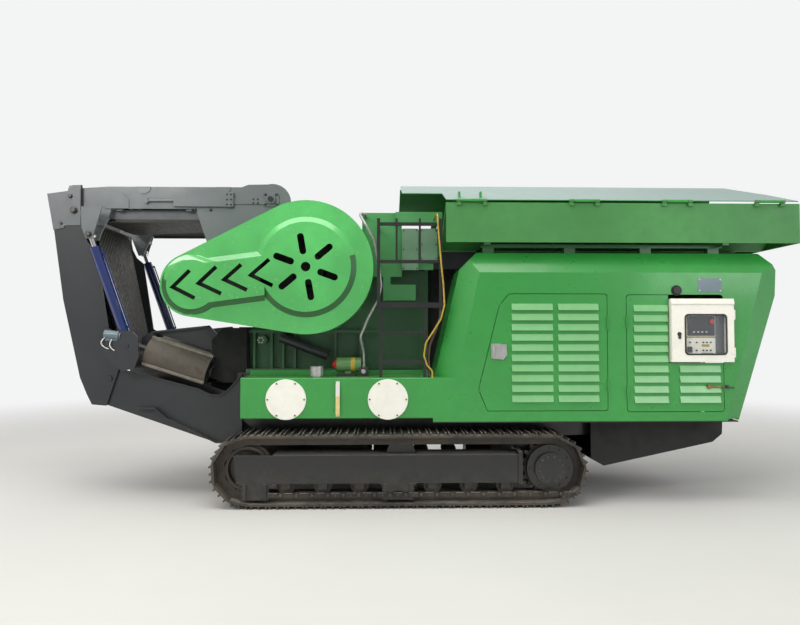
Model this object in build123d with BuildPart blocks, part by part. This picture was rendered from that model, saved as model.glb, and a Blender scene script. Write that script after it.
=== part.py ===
from build123d import *
from math import acos, atan2, ceil, cos, hypot, pi, radians, sin, tan
import os

os.makedirs("parts", exist_ok=True)

# Mobile jaw crusher on tracks, with its discharge conveyor folded for transport.
# Millimetres. X runs from the conveyor to the power unit, -Y is the near side and Z is up.

# Tracks
track_gauge = 1900
shoe_width = 400
shoe_count = 43
shoe_pitch = 171.45
sprocket_teeth = 19
link_half = 40
link_width = 38
link_inset = 40
shoe_inside = 40
shoe_outside = 62
axle_height = 350
idler_x = -1607
pitch_radius = shoe_pitch / (2 * sin(2 * pi / sprocket_teeth))
pitches_per_turn = sprocket_teeth / 2
run_pitches = (shoe_count - pitches_per_turn) / 2
sprocket_x = idler_x + run_pitches * shoe_pitch
grouser_tip = axle_height - pitch_radius
rail_radius = (pitch_radius - link_half) * cos(pi / pitches_per_turn)
track_mid = -track_gauge / 2
running_gap = 0.3

# Track frames
beam_left, beam_right = -1723, 948
beam_top, beam_floor, skirt_bottom = 489, 300, 229
beam_out, beam_in = 170, 150
beam_outer, beam_inner = track_gauge / 2 + beam_out, track_gauge / 2 - beam_in
roller_count, roller_pitch, roller_first_x = 7, 346, -1240
roller_radius = 75

# Chassis
rail_inner, rail_outer = 500, 600
bed_top = 1235
deck_bottom, deck_thick = 785, 12
deck_top = deck_bottom + deck_thick
rail_left, rail_right, bed_right = -1800, 3040, 148
rail_bottom = 560

# Side faces of the tanks, the hood and the hopper
face_y = 1090
sheet = 10

# Tanks
tank_left, tank_right = -1666, 148
tank_bottom, tank_top = 828, 1214

# Hood of the power unit
hood_wall = 12
hood_left, hood_right = 148, 3527
hood_top, hood_shoulder = 2417, 2250
hood_bevel_depth = 130
channel_half, channel_floor = 470, 2200
door_gap = 6
door_thick = 12
louvre_rows, louvre_pitch, louvre_height, louvre_depth = 10, 97, 62, 18

# Crusher
shaft_x, shaft_z, shaft_radius = -1056, 2261, 80
side_inner, side_outer = 330, 400
flywheel_radius, flywheel_inner, flywheel_outer = 540, 690, 870
chamber_half = 290
mouth_z, discharge_z = 2330, 1290
fixed_top_x, fixed_bottom_x = -480, -770
swing_top_x, swing_bottom_x = -880, -840
liner_thick, tooth_height, tooth_pitch = 32, 18, 58

# Drive guard
guard_radius, guard_end_radius = 637, 301
guard_end_x, guard_end_z = -2125, 2091
guard_back, guard_front, panel_front = 670, 1100, 1130
pulley_radius = 165

# Conveyor: both fold axes, and how each section points as folded
fold_low = (-3057, 1183)
fold_high = (-3419, 2875)
lower_angle, mid_angle, head_angle = 160.7, 102.1, 0
mid_length = hypot(fold_high[0] - fold_low[0], fold_high[1] - fold_low[1])
belt_half, belt_thick = 430, 14
drum_radius = 113
drum_setback, drum_offset = 190, 40
tail_drum_x = -2560
head_drum = (1964, 91)
fixed_plate, fold_plate, plate_thick = 620, 645, 15
pin_radius, pin_clearance = 25, 0.5

# Hopper
hopper_left, hopper_right = 275, 3704
hopper_bottom, hopper_top, hopper_face = 2503, 2885, 1100
wing_hinge_y, wing_hinge_z, wing_slope = 1125, 2901, 19.1
wing_thick, knuckle_radius = 8, 14


def side(y):
    """Drawing plane across the machine at this Y; extruding goes towards the near side."""
    return Plane.XZ.offset(-y)


def tangent_hull(a, a_radius, b, b_radius, mode=Mode.ADD):
    """Two circles with the straight tangents between them, like a belt round two pulleys."""
    reach = hypot(b[0] - a[0], b[1] - a[1])
    heading = atan2(b[1] - a[1], b[0] - a[0])
    spread = acos((a_radius - b_radius) / reach)
    corners = []
    for centre, radius, turn in (
        (a, a_radius, spread),
        (b, b_radius, spread),
        (b, b_radius, -spread),
        (a, a_radius, -spread),
    ):
        angle = heading + turn
        corners.append((centre[0] + radius * cos(angle), centre[1] + radius * sin(angle)))
    with Locations(a):
        Circle(a_radius, mode=mode)
    with Locations(b):
        Circle(b_radius, mode=mode)
    Polygon(*corners, align=None, mode=mode)


def box_between(low, high, mode=Mode.ADD):
    """A block from its lowest to its highest corner."""
    middle = tuple((a + b) / 2 for a, b in zip(low, high))
    size = [b - a for a, b in zip(low, high)]
    with Locations(middle):
        Box(*size, mode=mode)


def cross_tube(x, z, radius, y_low, y_high, mode=Mode.ADD):
    """A round bar across the machine."""
    with Locations(Location((x, (y_low + y_high) / 2, z), (90, 0, 0))):
        Cylinder(radius, y_high - y_low, mode=mode)


# Tracks: one loop each, of rigid shoes with three grousers on two rows of links

def loop_point(t, height=0):
    """Point on the chain, t pitches from the top of the idler, this far outside the pins."""
    t = t % shoe_count
    radius = pitch_radius + height
    half_turn = pitches_per_turn / 2
    if t < run_pitches:
        return idler_x + t * shoe_pitch, axle_height + radius
    if t < run_pitches + half_turn:
        angle = pi / 2 - (t - run_pitches) * 2 * pi / pitches_per_turn
        return sprocket_x + radius * cos(angle), axle_height + radius * sin(angle)
    if t < 2 * run_pitches + half_turn:
        return sprocket_x - (t - run_pitches - half_turn) * shoe_pitch, axle_height - radius
    angle = -pi / 2 - (t - 2 * run_pitches - half_turn) * 2 * pi / pitches_per_turn
    return idler_x + radius * cos(angle), axle_height + radius * sin(angle)


grouser_half, grouser_root = 0.04, 0.055
grouser_places = (0.1, 0.5, 0.9)


def shoe_outline():
    """Outline of all shoes, each one straight between two pins."""
    points = []
    for shoe in range(shoe_count):
        start, end = loop_point(shoe), loop_point(shoe + 1)
        along = (end[0] - start[0], end[1] - start[1])
        reach = hypot(*along)
        outward = (-along[1] / reach, along[0] / reach)
        for place in grouser_places:
            for share, height in (
                (place - grouser_root, shoe_outside),
                (place - grouser_half, grouser_tip),
                (place + grouser_half, grouser_tip),
                (place + grouser_root, shoe_outside),
            ):
                points.append(
                    (
                        start[0] + along[0] * share + outward[0] * height,
                        start[1] + along[1] * share + outward[1] * height,
                    )
                )
    return points


def loop_outline(height):
    return [loop_point(pin, height) for pin in range(shoe_count)]


with BuildPart() as track_near:
    with BuildSketch(side(track_mid + shoe_width / 2)):
        Polygon(*shoe_outline(), align=None)
        Polygon(*loop_outline(shoe_inside), align=None, mode=Mode.SUBTRACT)
    extrude(amount=shoe_width)
    for inset in (link_inset + link_width, -link_inset):
        with BuildSketch(side(track_mid + inset)):
            Polygon(*loop_outline(shoe_inside + 4), align=None)
            Polygon(*loop_outline(-link_half), align=None, mode=Mode.SUBTRACT)
        extrude(amount=link_width)
track_near.part.label = "track_near"
export_step(track_near.part, "parts/track_near.step")

with BuildPart() as track_far:
    add(track_near.part.mirror(Plane.XZ))
track_far.part.label = "track_far"
export_step(track_far.part, "parts/track_far.step")

# Sprockets: every second valley takes a pin
sprocket_bore, sprocket_root, sprocket_tip, sprocket_thick = 200, 232, 272, 56
first_pin = pi / 2 - (ceil(run_pitches) - run_pitches) * 2 * pi / pitches_per_turn
tooth_turn = 2 * pi / sprocket_teeth
sprocket_points = []
for tooth in range(sprocket_teeth):
    middle_angle = first_pin + (tooth + 0.5) * tooth_turn
    for share, radius in (
        (-0.3, sprocket_root), (-0.12, sprocket_tip), (0.12, sprocket_tip), (0.3, sprocket_root),
    ):
        angle = middle_angle + share * tooth_turn
        sprocket_points.append((radius * cos(angle), radius * sin(angle)))

with BuildPart() as sprockets:
    with BuildSketch(side(track_mid + sprocket_thick / 2)):
        with Locations((sprocket_x, axle_height)):
            Polygon(*sprocket_points, align=None)
            Circle(sprocket_bore + running_gap, mode=Mode.SUBTRACT)
    extrude(amount=sprocket_thick)
    mirror(about=Plane.XZ)
sprockets.part.label = "sprockets"
export_step(sprockets.part, "parts/sprockets.step")

# Final drives: from the frame's inner side out to the round cover
drive_plate = 30
drive_steps = (
    # radius, inner y, outer y
    (sprocket_bore, beam_inner + drive_plate, 1032),
    (221, 1032, 1060),
    (150, 1060, 1094),
)
with BuildPart() as final_drives:
    for radius, inner_y, outer_y in drive_steps:
        cross_tube(sprocket_x, axle_height, radius, -outer_y, -inner_y)
    with BuildSketch(side(-1060)):
        with Locations((sprocket_x, axle_height)):
            with PolarLocations(190, 12):
                Circle(10)
    extrude(amount=10)
    mirror(about=Plane.XZ)
final_drives.part.label = "final_drives"
export_step(final_drives.part, "parts/final_drives.step")

# Idlers: dished wheels that carry the links on both rims
idler_axle_radius, idler_axle_reach = 45, 125
idler_half = link_inset + link_width
idler_profile = (
    # radius, y from the middle of the track
    (0, -idler_axle_reach),
    (idler_axle_radius, -idler_axle_reach),
    (idler_axle_radius, -95),
    (90, -95),
    (100, -22),
    (175, -22),
    (183, -idler_half),
    (rail_radius - running_gap, -idler_half),
    (rail_radius - running_gap, -32),
    (235, -26),
    (235, 26),
    (rail_radius - running_gap, 32),
    (rail_radius - running_gap, idler_half),
    (183, idler_half),
    (175, 22),
    (100, 22),
    (90, 95),
    (idler_axle_radius, 95),
    (idler_axle_radius, idler_axle_reach),
    (0, idler_axle_reach),
)

# Bottom rollers between the links' rails and the brackets under the beam
roller_z = axle_height - pitch_radius + link_half + roller_radius + running_gap
bracket_inset = 100
roller_profile = (
    # radius, y from the middle of the track
    (0, -bracket_inset),
    (24, -bracket_inset),
    (24, -90),
    (roller_radius + 12, -90),
    (roller_radius + 12, -idler_half - 2),
    (roller_radius, -idler_half - 2),
    (roller_radius, -link_inset + 4),
    (58, -link_inset + 10),
    (58, link_inset - 10),
    (roller_radius, link_inset - 4),
    (roller_radius, idler_half + 2),
    (roller_radius + 12, idler_half + 2),
    (roller_radius + 12, 90),
    (24, 90),
    (24, bracket_inset),
    (0, bracket_inset),
)
roller_places = [roller_first_x + roller * roller_pitch for roller in range(roller_count)]
with BuildPart() as track_wheels:
    with BuildSketch(Plane.XY.offset(axle_height)):
        with Locations((idler_x, track_mid)):
            Polygon(*idler_profile, align=None)
    revolve(axis=Axis((idler_x, track_mid, axle_height), (0, 1, 0)))
    for roller_x in roller_places:
        with BuildSketch(Plane.XY.offset(roller_z)):
            with Locations((roller_x, track_mid)):
                Polygon(*roller_profile, align=None)
        revolve(axis=Axis((roller_x, track_mid, roller_z), (0, 1, 0)))
    mirror(about=Plane.XZ)
track_wheels.part.label = "track_wheels"
export_step(track_wheels.part, "parts/track_wheels.step")

# Track frames: box beam, outer skirt plate, end plate, guards and roller brackets
skirt_thick = 20
guard_bottom, guard_thick = 76, 26
guard_blocks = (
    # left, right
    (-1644, -1393),
    (-332, -33),
)
fork_left, fork_right = -1623, -1360
fork_sides = (
    # outer y, inner y
    (-beam_outer + skirt_thick, track_mid - idler_axle_reach),
    (track_mid + idler_axle_reach, -beam_inner),
)
with BuildPart() as track_frames:
    box_between((fork_right, -beam_outer + skirt_thick, beam_floor), (beam_right, -beam_inner, beam_top))
    for fork_low, fork_high in fork_sides:
        box_between((fork_left, fork_low, beam_floor), (fork_right, fork_high, beam_top - 60))
    with BuildSketch(side(-beam_outer + skirt_thick)):
        Polygon(
            (beam_left + 30, skirt_bottom),
            (beam_right, skirt_bottom),
            (beam_right, beam_top),
            (beam_left, beam_top),
            align=None,
        )
    extrude(amount=skirt_thick)
    box_between((beam_right, -beam_outer - 14, 220), (beam_right + 42, -beam_inner, 522))
    for left, right in guard_blocks:
        box_between(
            (left, -beam_outer + 4, guard_bottom), (right, -beam_outer + 4 + guard_thick, skirt_bottom)
        )
        box_between(
            (left - 20, -beam_outer, skirt_bottom - 16), (right + 20, track_mid - bracket_inset, skirt_bottom)
        )
        for rib_x in (left + 30, right - 30):
            box_between(
                (rib_x - 14, -beam_outer - 12, guard_bottom), (rib_x + 14, -beam_outer + 4, skirt_bottom)
            )
    for roller_x in roller_places:
        for inner in (track_mid + bracket_inset, track_mid - bracket_inset - 30):
            box_between((roller_x - 45, inner, roller_z - 40), (roller_x + 45, inner + 30, beam_floor))
    with BuildSketch(side(track_mid + 75)):
        Polygon((-300, beam_top), (-10, beam_top), (-45, 573), (-265, 573), align=None)
    extrude(amount=150)
    with BuildSketch(side(-beam_inner)):
        tangent_hull((beam_right, axle_height), 130, (sprocket_x, axle_height), sprocket_bore + 15)
    extrude(amount=drive_plate)
    mirror(about=Plane.XZ)
track_frames.part.label = "track_frames"
export_step(track_frames.part, "parts/track_frames.step")

# Chassis: rails deep under the crusher, crossmembers, and consoles that hang the track beams
rail_outline = (
    (rail_left, bed_top),
    (bed_right, bed_top),
    (bed_right, deck_bottom),
    (rail_right, deck_bottom),
    (rail_right, 640),
    (600, rail_bottom),
    (-1500, rail_bottom),
    (rail_left, 800),
)
crossmember_boxes = (
    # left, right, bottom, top
    (-1790, -1690, 1085, bed_top),
    (20, 140, 900, bed_top),
    (640, 800, 620, deck_bottom),
    (1500, 1640, 640, deck_bottom),
    (2660, 2800, 650, deck_bottom),
)
console_places = (-1150, -300, 620)
console_half = 120
with BuildPart() as chassis_frame:
    with BuildSketch(side(-rail_inner)):
        Polygon(*rail_outline, align=None)
    extrude(amount=rail_outer - rail_inner)
    for console_x in console_places:
        with BuildSketch(Plane.YZ.offset(console_x - console_half)):
            Polygon(
                (-rail_inner, rail_bottom),
                (-rail_outer - 60, rail_bottom),
                (-beam_inner, beam_top - 30),
                (-beam_inner, beam_floor + 20),
                (-rail_inner, 440),
                align=None,
            )
        extrude(amount=2 * console_half)
    mirror(about=Plane.XZ)
    for left, right, bottom, top in crossmember_boxes:
        box_between((left, -rail_inner, bottom), (right, rail_inner, top))
chassis_frame.part.label = "chassis_frame"
export_step(chassis_frame.part, "parts/chassis_frame.step")

# Deck under the hood
with BuildPart() as deck_plate:
    box_between((hood_left, -face_y + hood_wall, deck_bottom), (3080, face_y - hood_wall, deck_top))
deck_plate.part.label = "deck_plate"
export_step(deck_plate.part, "parts/deck_plate.step")

# Tail belly: closed tray below the deck, open to the front between the tracks
belly_half, belly_wall = 745, 10
belly_outline = (
    (1757, deck_bottom),
    (3098, deck_bottom),
    (3090, 622),
    (2993, 541),
    (1887, 308),
    (1757, 378),
)
belly_inside = (
    (1700, deck_bottom + 1),
    (3088, deck_bottom + 1),
    (3080, 628),
    (2988, 551),
    (1887, 318),
    (1700, 419),
)
with BuildPart() as tail_belly:
    with BuildSketch(side(belly_half)):
        Polygon(*belly_outline, align=None)
    extrude(amount=2 * belly_half)
    with BuildSketch(side(belly_half - belly_wall)):
        Polygon(*belly_inside, align=None)
    extrude(amount=2 * (belly_half - belly_wall), mode=Mode.SUBTRACT)
tail_belly.part.label = "tail_belly"
export_step(tail_belly.part, "parts/tail_belly.step")

# Tanks beside the crusher, each bolted to its rail
cover_radius, cover_thick = 190, 16
cover_places = (-1239, -279)
cover_z = 1010
tank_edge, upstand = 14, 25
with BuildPart() as side_tanks:
    box_between((tank_left, -face_y, tank_bottom), (tank_right, -rail_outer, tank_top))
    fillet(side_tanks.edges().filter_by(Axis.X).group_by(Axis.Y)[0], tank_edge)
    box_between((tank_left, -rail_outer - upstand, tank_top), (tank_right, -rail_outer, bed_top + upstand))
    mirror(about=Plane.XZ)
side_tanks.part.label = "side_tanks"
export_step(side_tanks.part, "parts/side_tanks.step")

with BuildPart() as tank_covers:
    with BuildSketch(side(-face_y)):
        with Locations(*[(cover_x, cover_z) for cover_x in cover_places]):
            Circle(cover_radius)
    extrude(amount=cover_thick)
    fillet(tank_covers.edges().filter_by(GeomType.CIRCLE).group_by(Axis.Y)[0], 4)
    with BuildSketch(side(-face_y - cover_thick)):
        for cover_x in cover_places:
            with Locations((cover_x, cover_z)):
                with PolarLocations(172, 6):
                    Circle(8)
    extrude(amount=6)
    mirror(about=Plane.XZ)
tank_covers.part.label = "tank_covers"
export_step(tank_covers.part, "parts/tank_covers.step")

# Level gauge and filler cap of the near tank
cap_x, cap_y, cap_neck, cap_height, cap_radius = -963, -980, 8, 95, 62
gauge_x, gauge_low, gauge_high = -752, 865, 1165
with BuildPart() as tank_fittings:
    for end_z in (gauge_low, gauge_high):
        box_between((gauge_x - 18, -face_y - 10, end_z - 15), (gauge_x + 18, -face_y, end_z + 15))
    with Locations((gauge_x, -face_y - 12, (gauge_low + gauge_high) / 2)):
        Cylinder(12, gauge_high - gauge_low - 30)
    with BuildSketch(Plane.XY.offset(tank_top)):
        with Locations((cap_x, cap_y)):
            Circle(44)
    extrude(amount=cap_neck)
    with BuildSketch(Plane.XY.offset(tank_top + cap_neck)):
        with Locations((cap_x, cap_y)):
            Circle(cap_radius)
            with PolarLocations(cap_radius + 2, 16):
                Circle(4, mode=Mode.SUBTRACT)
    extrude(amount=cap_height)
tank_fittings.part.label = "tank_fittings"
export_step(tank_fittings.part, "parts/tank_fittings.step")

# Crusher frame: side plates with base flanges and ribs, front wall and toggle beam
crusher_left, crusher_right = -1716, -480
crusher_front = (
    (crusher_right, bed_top),
    (-300, 1500),
    (-250, 1800),
    (-250, 2290),
)
side_outline = (
    (crusher_left, bed_top),
    *crusher_front,
    (-760, 2330),
    (-860, 2440),
    (-1250, 2440),
    (-1400, 2300),
    (-1640, 1760),
    (crusher_left, 1668),
)
flange_thick = 36
jaw_rise = mouth_z - discharge_z
jaw_stack = liner_thick + tooth_height
rib_places, rib_thick, rib_reach, shelf_z = (-1658, -1480, -1360, -1240, -820, -560), 24, 80, 1640
shelf_right, shelf_thick = -360, 28
beam_pin, beam_pin_radius, beam_pin_reach = (-1570, 1564), 48, 95
with BuildPart() as crusher_frame:
    with BuildSketch(side(-side_inner)):
        Polygon(*side_outline, align=None)
        with Locations((shaft_x, shaft_z)):
            Circle(120, mode=Mode.SUBTRACT)
    extrude(amount=side_outer - side_inner)
    box_between((crusher_left, -rail_outer, bed_top), (crusher_right, -side_outer, bed_top + flange_thick))
    for rib_x in rib_places:
        box_between(
            (rib_x - rib_thick / 2, -side_outer - rib_reach, bed_top + flange_thick),
            (rib_x + rib_thick / 2, -side_outer, shelf_z),
        )
    box_between(
        (crusher_left, -side_outer - rib_reach, shelf_z), (shelf_right, -side_outer, shelf_z + shelf_thick)
    )
    cross_tube(beam_pin[0], beam_pin[1], beam_pin_radius, -side_outer - beam_pin_reach, -side_outer)
    mirror(about=Plane.XZ)
    with BuildSketch(side(side_inner)):
        Polygon(
            (fixed_top_x + jaw_stack, mouth_z - 40),
            (-255, mouth_z - 40),
            (-255, 1800),
            (-305, 1500),
            (-485, bed_top + 5),
            (fixed_bottom_x + jaw_stack, discharge_z - 40),
            (fixed_bottom_x + jaw_stack, discharge_z),
            align=None,
        )
        Polygon((-1630, 1400), (-1440, 1400), (-1440, 1640), (-1610, 1700), align=None)
    extrude(amount=2 * side_inner)
crusher_frame.part.label = "crusher_frame"
export_step(crusher_frame.part, "parts/crusher_frame.step")


def toothed_plate_outline(half, thick, height, pitch):
    """Section of a jaw plate: flat back and upright teeth on its face."""
    count = int(2 * half // pitch)
    start = -count * pitch / 2
    points = [(0, -half), (thick, -half)]
    for tooth in range(count):
        left = start + tooth * pitch
        points += [
            (thick, left + pitch * 0.1),
            (thick + height, left + pitch * 0.35),
            (thick + height, left + pitch * 0.65),
            (thick, left + pitch * 0.9),
        ]
    points += [(thick, half), (0, half)]
    return points


jaw_margin = 30
fixed_run = Vector(fixed_top_x - fixed_bottom_x, 0, jaw_rise)
swing_run = Vector(swing_top_x - swing_bottom_x, 0, jaw_rise)
liner_half = chamber_half - 10
fixed_plane = Plane(
    origin=(fixed_bottom_x + jaw_stack, 0, discharge_z),
    x_dir=(-fixed_run.Z, 0, fixed_run.X),
    z_dir=fixed_run,
)
swing_plane = Plane(
    origin=(swing_bottom_x - jaw_stack, 0, discharge_z),
    x_dir=(swing_run.Z, 0, -swing_run.X),
    z_dir=swing_run,
)
with BuildPart() as fixed_jaw:
    with BuildSketch(fixed_plane):
        Polygon(*toothed_plate_outline(liner_half, liner_thick, tooth_height, tooth_pitch), align=None)
    extrude(amount=fixed_run.length - jaw_margin)
fixed_jaw.part.label = "fixed_jaw"
export_step(fixed_jaw.part, "parts/fixed_jaw.step")

# Swing jaw: hung on the shaft, with its toothed plate in front
swing_heel = (swing_bottom_x - jaw_stack - 190, 1420)
swing_shoulder = (shaft_x - 150, 2150)
with BuildPart() as swing_jaw:
    with BuildSketch(side(chamber_half - 5)):
        Polygon(
            (swing_top_x - jaw_stack, mouth_z),
            (swing_bottom_x - jaw_stack, discharge_z),
            (swing_bottom_x - jaw_stack - 110, discharge_z),
            swing_heel,
            swing_shoulder,
            (shaft_x, mouth_z),
            align=None,
        )
        with Locations((shaft_x, shaft_z)):
            Circle(150)
            Circle(shaft_radius + 6, mode=Mode.SUBTRACT)
    extrude(amount=2 * (chamber_half - 5))
    with BuildSketch(swing_plane):
        Polygon(*toothed_plate_outline(liner_half, liner_thick, tooth_height, tooth_pitch), align=None)
    extrude(amount=swing_run.length - jaw_margin)
swing_jaw.part.label = "swing_jaw"
export_step(swing_jaw.part, "parts/swing_jaw.step")

# Toggle plate between the swing jaw and its beam, and the setting cylinder on the near plate
toggle_half, toggle_beam_x = 240, -1440


def swing_back_x(z):
    """Back face of the swing jaw at this height."""
    share = (z - swing_heel[1]) / (swing_shoulder[1] - swing_heel[1])
    return swing_heel[0] + (swing_shoulder[0] - swing_heel[0]) * share - running_gap


setting_a, setting_b = (-1371, 1592), (-891, 1406)
setting_run = Vector(setting_b[0] - setting_a[0], 0, setting_b[1] - setting_a[1])
setting_y, setting_radius, setting_lug, setting_foot = -560, 50, 20, 30
tension_boxes = (
    # left, bottom, top, half width
    (crusher_left - 174, bed_top + 27, 1532, 480),
    (crusher_left - 120, 1532, 1700, 380),
)
with BuildPart() as setting_gear:
    with BuildSketch(side(toggle_half)):
        Polygon(
            (swing_back_x(1440), 1440),
            (swing_back_x(1490), 1490),
            (toggle_beam_x + running_gap, 1560),
            (toggle_beam_x + running_gap, 1510),
            align=None,
        )
    extrude(amount=2 * toggle_half)
    with BuildSketch(
        Plane(origin=(setting_a[0], setting_y, setting_a[1]), x_dir=(0, 1, 0), z_dir=setting_run)
    ):
        Circle(setting_radius)
    extrude(amount=setting_run.length)
    for share in (0.12, 0.88):
        lug_x = setting_a[0] + setting_run.X * share
        lug_z = setting_a[1] + setting_run.Z * share
        box_between(
            (lug_x - setting_lug, setting_y, lug_z - setting_foot),
            (lug_x + setting_lug, -side_outer, lug_z + setting_foot),
        )
    for left, bottom, top, half in tension_boxes:
        box_between((left, -half, bottom), (crusher_left, half, top))
setting_gear.part.label = "setting_gear"
export_step(setting_gear.part, "parts/setting_gear.step")

# Bearing housings and the shaft with its two flywheels
housing_radius, housing_outer = 190, 640
with BuildPart() as bearing_housings:
    cross_tube(shaft_x, shaft_z, housing_radius, -housing_outer + 60, -side_outer)
    cross_tube(shaft_x, shaft_z, housing_radius - 50, -housing_outer, -housing_outer + 60)
    box_between(
        (shaft_x - 250, -housing_outer + 60, shaft_z - 190), (shaft_x + 250, -side_outer, shaft_z - 110)
    )
    cross_tube(
        shaft_x, shaft_z, shaft_radius + pin_clearance, -housing_outer, -side_outer, mode=Mode.SUBTRACT
    )
    mirror(about=Plane.XZ)
bearing_housings.part.label = "bearing_housings"
export_step(bearing_housings.part, "parts/bearing_housings.step")

groove_count, groove_depth = 6, 12
wheel_profile = [
    # radius, distance from the middle plane
    (shaft_radius - 10, flywheel_inner - 30),
    (170, flywheel_inner - 30),
    (170, flywheel_inner + 40),
    (flywheel_radius - 90, flywheel_inner + 70),
    (flywheel_radius - 80, flywheel_inner),
    (flywheel_radius, flywheel_inner),
    (flywheel_radius, flywheel_outer),
    (flywheel_radius - 80, flywheel_outer),
    (flywheel_radius - 90, flywheel_outer - 70),
    (170, flywheel_outer - 40),
    (150, flywheel_outer + 10),
    (shaft_radius - 10, flywheel_outer + 10),
]
with BuildPart() as flywheels:
    with BuildSketch(Plane.XY.offset(shaft_z)):
        with Locations((shaft_x, 0)):
            Polygon(*[(radius, -y) for radius, y in wheel_profile], align=None)
            for groove in range(groove_count):
                groove_y = -flywheel_inner - 40 - groove * 20
                Polygon(
                    (flywheel_radius + 1, groove_y - 7),
                    (flywheel_radius - groove_depth, groove_y - 3),
                    (flywheel_radius - groove_depth, groove_y + 3),
                    (flywheel_radius + 1, groove_y + 7),
                    align=None,
                    mode=Mode.SUBTRACT,
                )
            Polygon(*wheel_profile, align=None)
    revolve(axis=Axis((shaft_x, 0, shaft_z), (0, 1, 0)))
    cross_tube(shaft_x, shaft_z, shaft_radius, -flywheel_outer - 20, flywheel_outer + 20)
flywheels.part.label = "flywheels"
export_step(flywheels.part, "parts/flywheels.step")

# Drive pulley on its motor, and the belt round both
pulley_shaft, motor_front, motor_plate = 40, 650, 20
with BuildPart() as drive_pulley:
    cross_tube(guard_end_x, guard_end_z, pulley_radius, -flywheel_outer, -flywheel_inner)
    cross_tube(guard_end_x, guard_end_z, pulley_shaft, -flywheel_outer - 25, -motor_front + 8)
drive_pulley.part.label = "drive_pulley"
export_step(drive_pulley.part, "parts/drive_pulley.step")

drive_belt_thick = 14
with BuildPart() as drive_belt:
    with BuildSketch(side(-flywheel_inner - 30)):
        big, small = (shaft_x, shaft_z), (guard_end_x, guard_end_z)
        tangent_hull(big, flywheel_radius + drive_belt_thick, small, pulley_radius + drive_belt_thick)
        tangent_hull(big, flywheel_radius + 0.5, small, pulley_radius + 0.5, mode=Mode.SUBTRACT)
    extrude(amount=flywheel_outer - flywheel_inner - 60)
drive_belt.part.label = "drive_belt"
export_step(drive_belt.part, "parts/drive_belt.step")

motor_radius, motor_back = 145, 250
with BuildPart() as drive_motor:
    cross_tube(guard_end_x, guard_end_z, motor_radius, -motor_front, -motor_back)
    with BuildSketch(side(-motor_front)):
        tangent_hull((guard_end_x, guard_end_z), guard_end_radius - 1, (-1570, 1880), 110)
    extrude(amount=motor_plate)
    cross_tube(
        guard_end_x, guard_end_z, pulley_shaft + pin_clearance,
        -motor_front - motor_plate, -motor_front + 10, mode=Mode.SUBTRACT,
    )
    box_between((-1640, -motor_front, 1800), (-1500, -side_outer, 1960))
drive_motor.part.label = "drive_motor"
export_step(drive_motor.part, "parts/drive_motor.step")

# Near drive guard: keyhole shell with a raised panel, six slots and four chevrons
guard_wall = 8
panel_radius, panel_end_radius, panel_bevel = 478, 285, 52
panel_arm_left, panel_arm_right, panel_arm_half = -2243, -1440, 238
panel_arm_middle, panel_arm_slope = (-1841, 2125), 0.134
chevrons = (
    # apex x, apex z, upper end x, upper end z, lower end x, lower end z
    (-2296, 2067, -2140, 2223, -2091, 1962),
    (-2055, 2103, -1893, 2258, -1844, 2004),
    (-1816, 2138, -1660, 2279, -1604, 2039),
    (-1568, 2180, -1398, 2329, -1364, 2081),
)
chevron_width = 38
guard_arm_angles = (295, 320, 345)
slot_places, slot_length, slot_width, slot_circle = 6, 203, 63, 220
guard_big, guard_small = (shaft_x, shaft_z), (guard_end_x, guard_end_z)


def guard_arms(hand):
    """Brackets from the crusher's side plate out to the guard; hand is 1 on the near side."""
    for arm_angle in guard_arm_angles:
        turn = radians(arm_angle)
        arm_x = shaft_x + (guard_radius - 30) * cos(turn)
        arm_z = shaft_z + (guard_radius - 30) * sin(turn)
        low_y, high_y = sorted((-hand * side_outer, -hand * (guard_back + 20)))
        with Locations(Location((arm_x, (low_y + high_y) / 2, arm_z), (0, -arm_angle, 0))):
            Box(60, high_y - low_y, 50)


def panel_sketch(inset=0):
    """Raised panel of the guard, drawn this far inside its foot."""
    with Locations(guard_big):
        Circle(panel_radius - inset)
    with Locations(guard_small):
        Circle(panel_end_radius - inset)
    corners = []
    for x, hand in (
        (panel_arm_left, 1), (panel_arm_right, 1), (panel_arm_right, -1), (panel_arm_left, -1),
    ):
        axis_z = panel_arm_middle[1] + (x - panel_arm_middle[0]) * panel_arm_slope
        corners.append((x, axis_z + hand * (panel_arm_half - inset)))
    Polygon(*corners, align=None)


with BuildPart() as drive_guard:
    with BuildSketch(side(-guard_back)):
        tangent_hull(guard_big, guard_radius, guard_small, guard_end_radius)
    extrude(amount=guard_front - guard_back)
    with BuildSketch(side(-guard_front)):
        panel_sketch()
    with BuildSketch(side(-panel_front)):
        panel_sketch(panel_bevel)
    loft(ruled=True)
    with BuildSketch(side(-guard_back)):
        tangent_hull(guard_big, guard_radius - guard_wall, guard_small, guard_end_radius - guard_wall)
    extrude(amount=guard_front - guard_back - guard_wall, mode=Mode.SUBTRACT)
    with BuildSketch(side(-guard_front + guard_wall + 1)):
        panel_sketch(panel_bevel + guard_wall)
    extrude(amount=panel_front - guard_front, mode=Mode.SUBTRACT)
    with BuildSketch(side(-guard_front + 20)):
        with Locations(guard_big):
            Circle(45)
            with PolarLocations(slot_circle, slot_places, start_angle=40):
                SlotOverall(slot_length, slot_width)
        for apex_x, apex_z, upper_x, upper_z, lower_x, lower_z in chevrons:
            with BuildLine():
                arm = Polyline((upper_x, upper_z), (apex_x, apex_z), (lower_x, lower_z))
            trace(arm, line_width=chevron_width)
    extrude(amount=80, mode=Mode.SUBTRACT)
    guard_arms(1)
drive_guard.part.label = "drive_guard"
export_step(drive_guard.part, "parts/drive_guard.step")

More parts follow.
